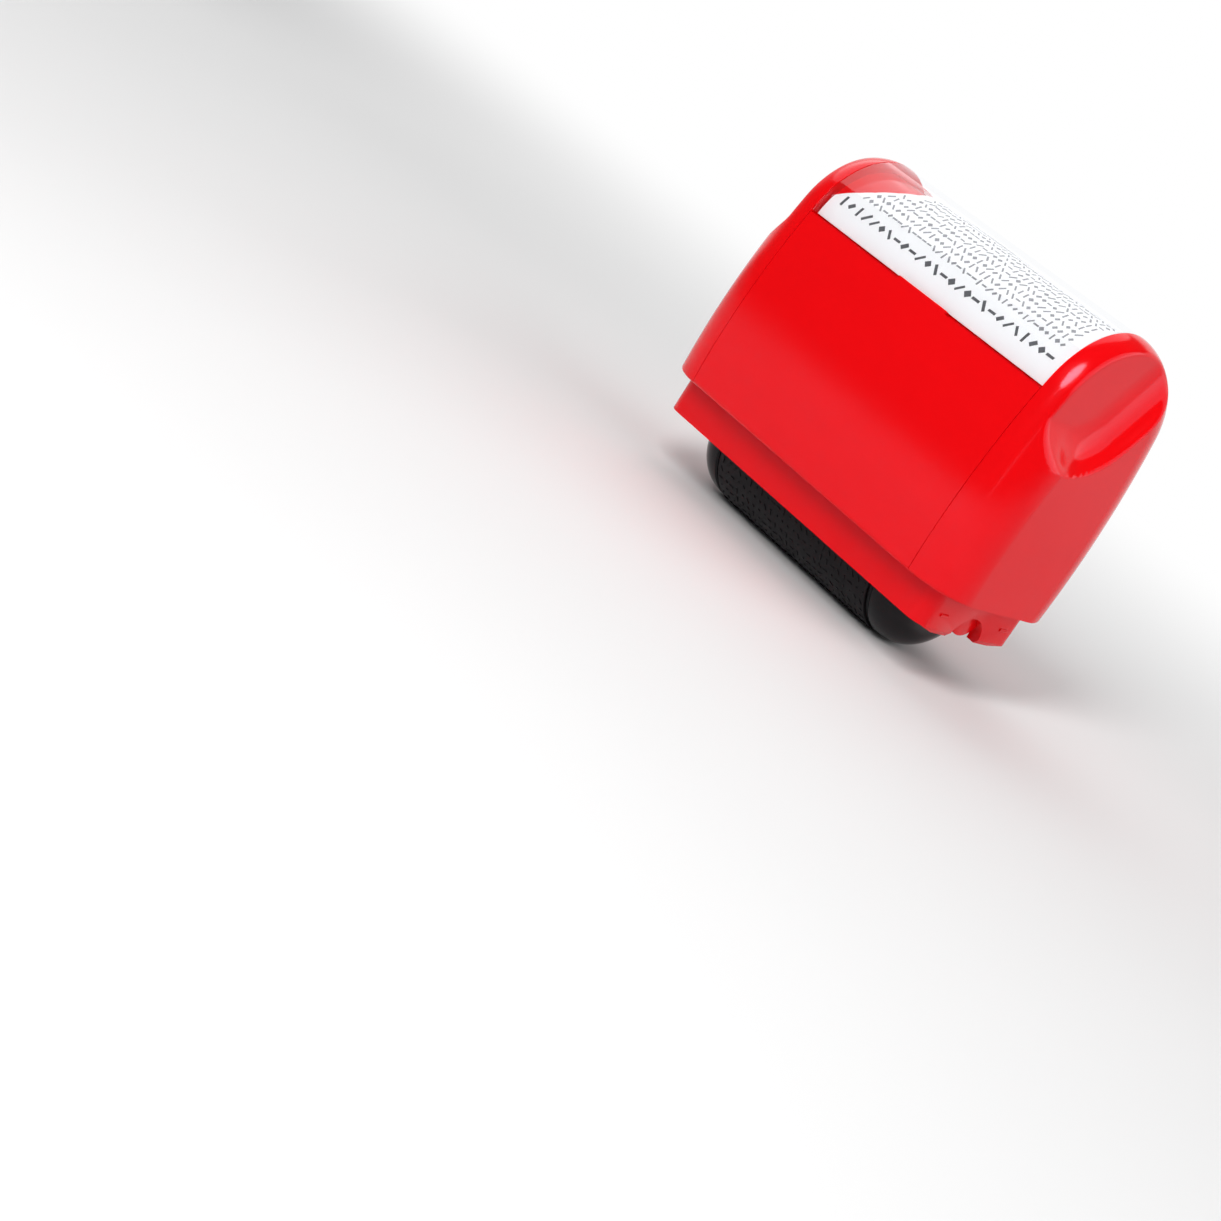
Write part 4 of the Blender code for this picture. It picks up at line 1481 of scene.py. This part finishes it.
@dataclass
class Cartridge(SubAssembly):
    """Lower frame that carries the roller and slides into the housing, with axle and washers."""

    body = "cartridge"
    axle_height: float = 12.0 * MM
    half_length: float = 32.8 * MM
    half_depth: float = 14.0 * MM
    corner: float = 3.0 * MM
    corner_steps: int = 14
    wall: float = 1.6 * MM
    end_wall: float = 2.2 * MM
    plate_top: float = 15.0 * MM
    plate_underside: float = 13.0 * MM
    skirt_foot: float = -3.0 * MM
    leg_foot: float = -3.9 * MM
    leg_slope: Pair = (12.6 * MM, 8.5 * MM)
    lead_in: float = 0.6 * MM
    notch_radius: float = 4.3 * MM
    seat_gap: float = 0.3 * MM
    boss_face: float = 28.1 * MM
    boss_radius: float = 3.6 * MM
    bore_radius: float = 1.6 * MM
    jaw_half: float = 1.25 * MM
    boss_rib_half: float = 1.0 * MM
    detent_reach: float = 9.0 * MM
    detent_height: float = -0.3 * MM
    detent_length: float = 2.0 * MM
    detent_radius: float = 0.3 * MM
    arm_half: float = 3.0 * MM
    arm_outer: float = 32.3 * MM
    arm_thickness: float = 1.4 * MM
    arm_top: float = 22.0 * MM
    arm_round: float = 0.25 * MM
    nose_radius: float = 0.8 * MM
    rib_reach: float = 6.0 * MM
    rib_width: float = 1.2 * MM
    rib_top: float = 18.0 * MM
    rib_spans: Sequence[Pair] = (
        (-26.1 * MM, -15.1 * MM),
        (-12.9 * MM, 12.9 * MM),
        (15.1 * MM, 26.1 * MM),
    )
    edge_round: float = 0.28 * MM
    small_round: float = 0.2 * MM
    beyond: float = 3.0 * MM
    box_limit: float = 50.0
    frame_crisp: float = 32.0
    turned_crisp: float = 40.0
    sides: int = 64
    bore_sides: int = 48
    ridge_sides: int = 20
    nose_sides: int = 24
    axle_radius: float = 1.5 * MM
    axle_chamfer: float = 0.3 * MM
    axle_round: float = 0.12 * MM
    washer: Sequence[Pair] = (
        (27.45 * MM, 1.58 * MM),
        (27.95 * MM, 1.58 * MM),
        (27.95 * MM, 3.48 * MM),
        (27.45 * MM, 3.48 * MM),
    )
    washer_round: float = 0.1 * MM

    @property
    def inner_half_length(self) -> float:
        """Half the length of the roller's bay."""
        return self.half_length - self.end_wall

    @property
    def bed(self) -> float:
        """Height inside the top plate from which pieces on it rise."""
        return (self.plate_top + self.plate_underside) / 2

    def plan(self, half_length: float, half_depth: float, corner: float) -> list[Pair]:
        """Outline in X and Y with four round corners.

        Args:
            half_length: Half its length.
            half_depth: Half its depth.
            corner: Radius of the corners.

        Returns:
            Points (x, y).
        """
        points = []
        for quarter, (side_x, side_y) in enumerate(((1, 1), (-1, 1), (-1, -1), (1, -1))):
            start = quarter * QUARTER
            for turn in spaced(start, start + QUARTER, self.corner_steps):
                x = side_x * (half_length - corner) + corner * math.cos(turn)
                y = side_y * (half_depth - corner) + corner * math.sin(turn)
                points.append((x, y))
        return points

    def box(self) -> Piece:
        """Open-bottomed box with its foot trimmed, notched for the axle, and its edges softened.

        Returns:
            The box, with z measured from the axle.
        """
        below = self.leg_foot - self.beyond
        far_x, far_y = self.half_length + self.beyond, self.half_depth + self.beyond
        outer = self.plan(self.half_length, self.half_depth, self.corner)
        body = prism(outer, "Z", self.leg_foot, self.plate_top)
        inner = self.inner_half_length
        bay = self.plan(inner, self.half_depth - self.wall, self.corner - self.wall)
        legs_start = inner - self.seat_gap
        tools = [
            prism(bay, "Z", below, self.plate_underside),
            block((-far_x, -far_y, below), (legs_start, far_y, self.skirt_foot)),
        ]
        outside, foot = self.leg_slope
        slope = [(far_y, self.skirt_foot), (outside, self.skirt_foot), (foot, self.leg_foot)]
        slope += [(foot, below), (far_y, below)]
        for side in (-1, 1):
            mirror = [(side * y, z) for y, z in slope]
            tools.append(prism(mirror, "X", legs_start - self.seat_gap, far_x))
        drop = self.leg_foot - below
        rise = self.skirt_foot + drop * (self.skirt_foot - self.leg_foot) / self.lead_in
        tip, wide = self.half_length - self.lead_in, self.half_length + drop
        lead = [(wide, rise), (tip, self.leg_foot), (tip, below), (wide, below)]
        tools.append(prism(lead, "Y", -far_y, far_y))
        notch = circle(self.notch_radius, self.sides, (0.0, self.leg_foot))
        for side in (-1, 1):
            tools.append(prism(notch, "X", *sorted((side * legs_start, side * far_x))))
        combine(body, tools, Operation.CUT)
        return soften(body, self.edge_round, 3, self.box_limit)

    def bearing(self, body: Piece, side: int) -> None:
        """Round boss with its rib, a bore and a snap slot open downwards.

        Args:
            body: The frame that it is joined to.
            side: -1 or 1, the end along X.
        """
        ends = sorted((side * self.boss_face, side * (self.inner_half_length + self.end_wall / 2)))
        free = sorted((side * (self.boss_face - self.beyond), side * self.inner_half_length))
        rib_low = (ends[0], -self.boss_rib_half, self.bore_radius + self.axle_radius / 2)
        rib = block(rib_low, (ends[1], self.boss_rib_half, self.bed))
        boss = prism(circle(self.boss_radius, self.sides), "X", *ends)
        soften(boss, self.small_round, 2, self.box_limit)
        combine(body, [boss, rib], Operation.JOIN)
        slot_low = (free[0], -self.jaw_half, -self.boss_radius - self.beyond)
        slot = block(slot_low, (free[1], self.jaw_half, 0.0))
        bore = prism(circle(self.bore_radius, self.bore_sides), "X", *free)
        combine(body, [bore, slot], Operation.CUT)

    def small_parts(self, body: Piece, side: int) -> None:
        """Detent ridges and the springy arm with its nose at one end.

        Args:
            body: The frame that they are joined to.
            side: -1 or 1, the end along X.
        """
        middle = (side * self.half_length, self.detent_height)
        ridge = circle(self.detent_radius, self.ridge_sides, middle)
        tools = []
        for middle in (-self.detent_reach, self.detent_reach):
            half = self.detent_length / 2
            tools.append(prism(ridge, "Y", middle - half, middle + half))
        outer, inner = side * self.arm_outer, side * (self.arm_outer - self.arm_thickness)
        low_x, high_x = sorted((inner, outer))
        low = (low_x, -self.arm_half, self.bed)
        arm = soften(block(low, (high_x, self.arm_half, self.arm_top)), self.arm_round, 3)
        middle = (outer, self.arm_top - 2 * self.nose_radius)
        nose = circle(self.nose_radius, self.nose_sides, middle)
        width = self.arm_half - self.seat_gap
        combine(arm, [prism(nose, "Y", -width, width)], Operation.JOIN)
        combine(body, tools + [arm], Operation.JOIN)

    def make_frame(self) -> None:
        """Whole lower frame."""
        body = self.box()
        for side in (-1, 1):
            self.bearing(body, side)
            self.small_parts(body, side)
        ribs = []
        for middle in (-self.rib_reach, self.rib_reach):
            for start, end in self.rib_spans:
                low = (start, middle - self.rib_width / 2, self.bed)
                rib = block(low, (end, middle + self.rib_width / 2, self.rib_top))
                ribs.append(soften(rib, self.small_round, 2))
        combine(body, ribs, Operation.JOIN)
        body.data.transform(Matrix.Translation((0.0, 0.0, self.axle_height)))
        self.dress(body, "lower_frame", RED_FRAME, ["roller_frame"], self.frame_crisp)

    def build(self) -> None:
        """Make every piece of the cartridge."""
        self.make_frame()
        half, tip = self.inner_half_length - self.seat_gap, self.axle_radius - self.axle_chamfer
        pin = [(-half, 0.0), (-half, tip), (-half + self.axle_chamfer, self.axle_radius)]
        pin += [(-x, radius) for x, radius in pin[::-1]]
        pin = rounded(pin, self.axle_round, 3, (0, len(pin) - 1))
        axle = turned(pin, self.sides, self.axle_height)
        self.dress(axle, "steel_axle", STEEL, ["axle"], self.turned_crisp)
        ring = rounded(self.washer, self.washer_round, 3)
        for side in Side:
            profile = [(side.value * x, radius) for x, radius in ring]
            name = f"thrust_washer_{side.word}"
            washer = turned(profile, self.sides, self.axle_height)
            self.dress(washer, f"{name}_ring", STEEL, [name], self.turned_crisp)


# Roller


@dataclass
class Roller(SubAssembly):
    """Printing roller about its own axis."""

    body = "roller"
    axle_height: float = 12.0 * MM
    sides: int = 128
    plug_sides: int = 40
    hole_sides: int = 32
    round_steps: int = 4
    radius: float = 12.0 * MM
    relief: float = 0.12 * MM
    bore: float = 10.6 * MM
    sleeve_half: float = 19.3 * MM
    sleeve_round: float = 0.18 * MM
    mark_margin: float = 0.8 * MM
    mark_share: float = 0.975
    spigot: float = 10.3 * MM
    spigot_end: float = 18.1 * MM
    cap_radius: float = 11.7 * MM
    cap_step: float = 0.3 * MM
    shoulder: float = 20.1 * MM
    end: float = 26.4 * MM
    cap_round: float = 5.4 * MM
    cap_steps: int = 24
    cap_edge: float = 0.15 * MM
    bush_edge: float = 0.12 * MM
    seal_edge: float = 0.14 * MM
    spool_edge: float = 0.3 * MM
    foam_edge: float = 0.5 * MM
    core_radius: float = 6.5 * MM
    core_bore: float = 2.1 * MM
    core_half: float = 22.0 * MM
    seat_gap: float = 0.3 * MM
    fit_gap: float = 0.15 * MM
    face_gap: float = 0.1 * MM
    bush_bore: float = 1.58 * MM
    bush_radius: float = 2.98 * MM
    bush_flange: float = 4.18 * MM
    bush_ends: Triple = (22.5 * MM, 26.5 * MM, 27.3 * MM)
    plug_ring: float = 8.4 * MM
    plug_radius: float = 1.0 * MM
    plug_head_radius: float = 1.6 * MM
    plug_head_span: Pair = (24.1 * MM, 24.9 * MM)
    plug_start: float = 20.1 * MM
    plug_round: float = 0.2 * MM
    overrun: float = 3.0 * MM

    def turn(
        self, profile: Sequence[Pair], side: int, edge: float, skip: Sequence[int] = ()
    ) -> Piece:
        """Turned piece of one side with rounded corners.

        Args:
            profile: Corners (x, radius) of the right end.
            side: -1 or 1, the end along X.
            edge: Radius of the corners.
            skip: Numbers of the corners that stay as they are.

        Returns:
            The piece.
        """
        softened = rounded(profile, edge, self.round_steps, skip)
        placed = [(side * x, radius) for x, radius in softened]
        return turned(placed, self.sides, self.axle_height)

    @staticmethod
    def tube(start: float, end: float, inner: float, outer: float) -> list[Pair]:
        """Profile of a plain tube."""
        return [(start, inner), (start, outer), (end, outer), (end, inner)]

    def make_sleeve(self) -> None:
        """Porous sleeve whose face carries raised marks in rows all round."""
        half, face = self.sleeve_half, self.radius - self.relief
        sleeve = self.turn(self.tube(-half, half, self.bore, face), 1, self.sleeve_round)
        marks = MarkField(
            length=2 * half - 2 * self.mark_margin,
            span=math.tau * face * self.mark_share,
            columns=26,
            rows=40,
            radius=face,
            centre_height=self.axle_height,
            turn=0.0,
            size=1.15 * MM,
            relief=self.relief,
            seed=11,
        ).make(RUBBER)
        self.dress(sleeve, "printing_sleeve", RUBBER, ["print_sleeve"])
        self.dress(marks, "sleeve_relief", RUBBER, ["print_sleeve"])

    def make_cap(self, side: Side) -> None:
        """Rounded glossy cap of one end, with the refill hole in the right one.

        Args:
            side: The end that it closes.
        """
        start, arc = self.end - self.cap_round, []
        for turn in spaced(0.0, QUARTER, self.cap_steps):
            drop = self.cap_round * (1 - math.cos(turn))
            arc.append((start + self.cap_round * math.sin(turn), self.cap_radius - drop))
        pocket, bore = self.core_radius + self.fit_gap, self.bush_radius + self.fit_gap
        core_end = self.core_half + self.seat_gap
        inward = [
            (self.spigot_end, pocket),
            (self.spigot_end, self.spigot),
            (self.shoulder, self.spigot),
            (self.shoulder, self.cap_radius - self.cap_step),
            (self.shoulder + self.cap_step, self.cap_radius),
        ]
        profile = [*inward, *arc, (self.end, bore), (core_end, bore), (core_end, pocket)]
        smooth = range(len(inward), len(inward) + len(arc))
        cap = self.turn(profile, side.value, self.cap_edge, smooth)
        if side is Side.HIGH:
            centre = (0.0, self.axle_height + self.plug_ring)
            holes = (
                (self.plug_radius + self.fit_gap, self.spigot_end - self.overrun),
                (self.plug_head_radius + self.seat_gap, self.plug_head_span[0] - self.seat_gap),
            )
            far = self.end + self.overrun
            tools = []
            for radius, low in holes:
                tools.append(prism(circle(radius, self.hole_sides, centre), "X", low, far))
            combine(cap, tools, Operation.CUT)
        name = f"roller_cap_{side.word}"
        self.dress(cap, f"{name}_shell", BLACK, [name])

    def make_plug(self) -> None:
        """Stepped plug of the refill hole."""
        low, high = self.plug_head_span
        profile = [
            (self.plug_start, 0.0),
            (self.plug_start, self.plug_radius),
            (low, self.plug_radius),
            (low, self.plug_head_radius),
            (high, self.plug_head_radius),
            (high, 0.0),
        ]
        profile = rounded(profile, self.plug_round, self.round_steps, (0, len(profile) - 1))
        plug = turned(profile, self.plug_sides, self.axle_height + self.plug_ring)
        self.dress(plug, "refill_plug", NATURAL, ["ink_plug"])

    def make_bush(self, side: Side) -> None:
        """Flanged plain bearing of one end.

        Args:
            side: The end that it sits in.
        """
        start, lip, end = self.bush_ends
        profile = [
            (start, self.bush_bore),
            (end, self.bush_bore),
            (end, self.bush_flange),
            (lip, self.bush_flange),
            (lip, self.bush_radius),
            (start, self.bush_radius),
        ]
        bush = self.turn(profile, side.value, self.bush_edge)
        self.dress(bush, f"bush_{side.word}_liner", NATURAL, [f"bush_{side.word}"])

    def make_seal(self, side: Side) -> None:
        """Flat ring between sleeve and cap of one end.

        Args:
            side: The end that it sits at.
        """
        start, end = self.sleeve_half + self.face_gap, self.shoulder - self.face_gap
        low, high = self.spigot + self.fit_gap, self.cap_radius - self.cap_step
        profile = [(start, low), (end, low), (end, high), (start, high)]
        seal = self.turn(profile, side.value, self.seal_edge)
        self.dress(seal, f"seal_{side.word}_ring", SEAL, [f"seal_ring_{side.word}"])

    def build(self) -> None:
        """Make every piece of the roller."""
        self.make_sleeve()
        self.make_plug()
        core = self.tube(-self.core_half, self.core_half, self.core_bore, self.core_radius)
        spool = self.turn(core, 1, self.spool_edge)
        self.dress(spool, "roller_spool", NATURAL, ["roller_core"])
        reach = self.spigot_end - self.seat_gap
        foam = self.tube(-reach, reach, self.core_radius + self.seat_gap, self.spigot)
        self.dress(self.turn(foam, 1, self.foam_edge), "ink_store", FOAM, ["ink_foam"])
        for side in Side:
            self.make_cap(side)
            self.make_bush(side)
            self.make_seal(side)


# Studio


@dataclass(frozen=True)
class SoftBox:
    """Area lamp aimed at the stamp. Azimuth 0 is the front (-Y), 90 is +X."""

    name: str
    azimuth: float
    elevation: float
    distance: float
    size: Pair
    radiance: float

    def place(self, target: Vector) -> None:
        """Put the lamp in the scene.

        Args:
            target: The place that it shines on.
        """
        turn, rise = math.radians(self.azimuth), math.radians(self.elevation)
        level = math.cos(rise)
        way = Vector((math.sin(turn) * level, -math.cos(turn) * level, math.sin(rise)))
        lamp = bpy.data.lights.new(self.name, "AREA")
        lamp.shape = "ELLIPSE"
        lamp.size, lamp.size_y = self.size
        lamp.energy = self.radiance * math.pi * self.size[0] * self.size[1] * math.pi / 4
        made = linked(self.name, lamp)
        made.location = target + way * self.distance
        made.rotation_euler = way.to_track_quat("Z", "Y").to_euler()


@dataclass
class Studio:
    """Camera of the photograph, pale floor, white surround and soft lamps."""

    camera_place: Triple = (0.23032, -0.34246, 0.09703)
    camera_right: Triple = (0.57863, 0.6314, 0.51626)
    camera_up: Triple = (-0.57337, -0.13525, 0.80806)
    camera_back: Triple = (0.58003, -0.76357, 0.28376)
    lens: float = 74.09
    sensor: float = 36.0
    floor_half: float = 4.0
    # The floor's colour is a painted pool of light: pale near the stamp, painted dark farther out;
    # the cloud is random tone on top.
    floor_in_painted_light: Colour = (0.79, 0.79, 0.79)
    floor_painted_dark: Colour = (0.30, 0.30, 0.31)
    cloud_size: float = 0.15
    cloud: float = 0.1
    painted_pool_centre: Triple = (0.035, -0.030, 0.0)
    painted_pool_radius: Pair = (0.24, 0.50)
    rear: Triple = (-0.10, 0.995, 0.0)
    rear_glow: Pair = (0.04, 0.26)
    rear_world: Pair = (-0.25, 0.45)
    ambient: float = 0.26
    front_dim: float = 0.11
    glow_rise: Pair = (0.50, 0.63)
    target: Triple = (0.0, 0.0, 0.03)
    lamps: Sequence[SoftBox] = (
        SoftBox("key_core", 12.0, 39.5, 0.50, (0.13, 0.33), 15.0),
        SoftBox("strip", 33.0, -2.0, 0.65, (0.02, 0.34), 1.5),
        SoftBox("key_broad", 6.0, 42.0, 0.80, (0.55, 0.45), 0.3),
        SoftBox("broad_left", -106.0, 50.0, 0.9, (1.15, 0.85), 1.35),
        SoftBox("fill_right", 108.0, 30.0, 0.9, (1.3, 0.9), 1.40),
    )

    def place_camera(self) -> None:
        """Create the camera."""
        data = bpy.data.cameras.new("photo_camera")
        data.lens = self.lens
        data.sensor_width = self.sensor
        data.clip_start = 0.01
        made = linked("photo_camera", data)
        axes = Matrix((self.camera_right, self.camera_up, self.camera_back)).transposed()
        made.matrix_world = Matrix.Translation(self.camera_place) @ axes.to_4x4()
        bpy.context.scene.camera = made

    @staticmethod
    def seen_directly(graph: Graph) -> Wire:
        """1 for camera, glossy and transmission rays, 0 for the others.

        Args:
            graph: The nodes that it is made in.

        Returns:
            The share.
        """
        outputs = graph.add("ShaderNodeLightPath").outputs
        camera, glossy, through = (
            Wire(graph, outputs[f"Is {kind} Ray"]) for kind in ("Camera", "Glossy", "Transmission")
        )
        return (camera + glossy + through).math("MINIMUM", 1.0)

    @staticmethod
    def toward(graph: Graph, place: Wire, way: Triple) -> Wire:
        """How far a place lies along a direction."""
        values = {0: place, 1: way}
        return graph.wire("ShaderNodeVectorMath", values, "Value", operation="DOT_PRODUCT")

    @staticmethod
    def smooth_step(graph: Graph, value: Wire, start: float, end: float) -> Wire:
        """0 before start, 1 after end and a soft change between them."""
        values = {"Value": value, "From Min": start, "From Max": end, "To Min": 0.0, "To Max": 1.0}
        return graph.wire("ShaderNodeMapRange", values, interpolation_type="SMOOTHSTEP")

    def lay_floor(self) -> None:
        """Floor that keeps the shadow: pale in a painted pool of light round the stamp, painted dark
        farther out, white far behind it.
        """
        half = self.floor_half
        corners = ((-half, -half, 0.0), (half, -half, 0.0), (half, half, 0.0), (-half, half, 0.0))
        built = bmesh.new()
        built.faces.new([built.verts.new(corner) for corner in corners])
        floor = solid(built)
        floor.name = floor.data.name = "studio_floor"
        graph = ShaderGraph(bpy.data.materials.new("studio_floor"))
        # Painted pool of light: the colour is pale within the pool's radius and painted dark beyond
        # it, except far behind the stamp.
        values = {0: graph.place, 1: self.painted_pool_centre}
        spread = graph.wire("ShaderNodeVectorMath", values, "Value", operation="DISTANCE")
        outside = self.smooth_step(graph, spread, *self.painted_pool_radius)
        rearward = self.toward(graph, graph.place, self.rear)
        behind = self.smooth_step(graph, rearward, *self.rear_glow)
        cloud = graph.noise(self.cloud_size, 2.0) * self.cloud
        painted_falloff = outside * (1.0 - behind) + cloud
        colour = graph.blend(painted_falloff, self.floor_in_painted_light, self.floor_painted_dark)
        graph.set(Base_Color=colour, Roughness=0.8, Specular_IOR_Level=0.0)
        glow = graph.add("ShaderNodeEmission", {"Strength": 1.0})
        graph.show_mix(self.seen_directly(graph) * behind, graph.shader, glow)
        floor.data.materials.append(graph.material)

    def light_world(self) -> None:
        """Surround: an even soft light, white to the eye behind the stamp and dim before it."""
        world = bpy.data.worlds.new("studio_world")
        world.use_nodes = True
        graph = Graph(world.node_tree)
        way = graph.wire("ShaderNodeTexCoord", key="Generated")
        behind = self.smooth_step(graph, self.toward(graph, way, self.rear), *self.rear_world)
        height = self.toward(graph, way, (0.0, 0.0, 1.0))
        low = 1.0 - self.smooth_step(graph, height, *self.glow_rise)
        shown = self.front_dim + behind * low * (1.0 - self.front_dim)
        strength = self.ambient + self.seen_directly(graph) * (shown - self.ambient)
        values = {"Color": (1.0, 1.0, 1.0, 1.0), "Strength": strength}
        light = graph.wire("ShaderNodeBackground", values)
        graph.add("ShaderNodeOutputWorld", {"Surface": light})
        bpy.context.scene.world = world

    def build(self) -> None:
        """Set up the studio."""
        self.place_camera()
        self.lay_floor()
        self.light_world()
        for lamp in self.lamps:
            lamp.place(Vector(self.target))
        bpy.context.scene.view_settings.view_transform = "Standard"


def main() -> None:
    """Build the studio and dress the stamp."""
    logging.basicConfig(level=logging.INFO, format="%(message)s")
    Studio().build()
    for part in (Housing(), Cartridge(), Roller()):
        part.build()


if __name__ == "__main__":
    main()
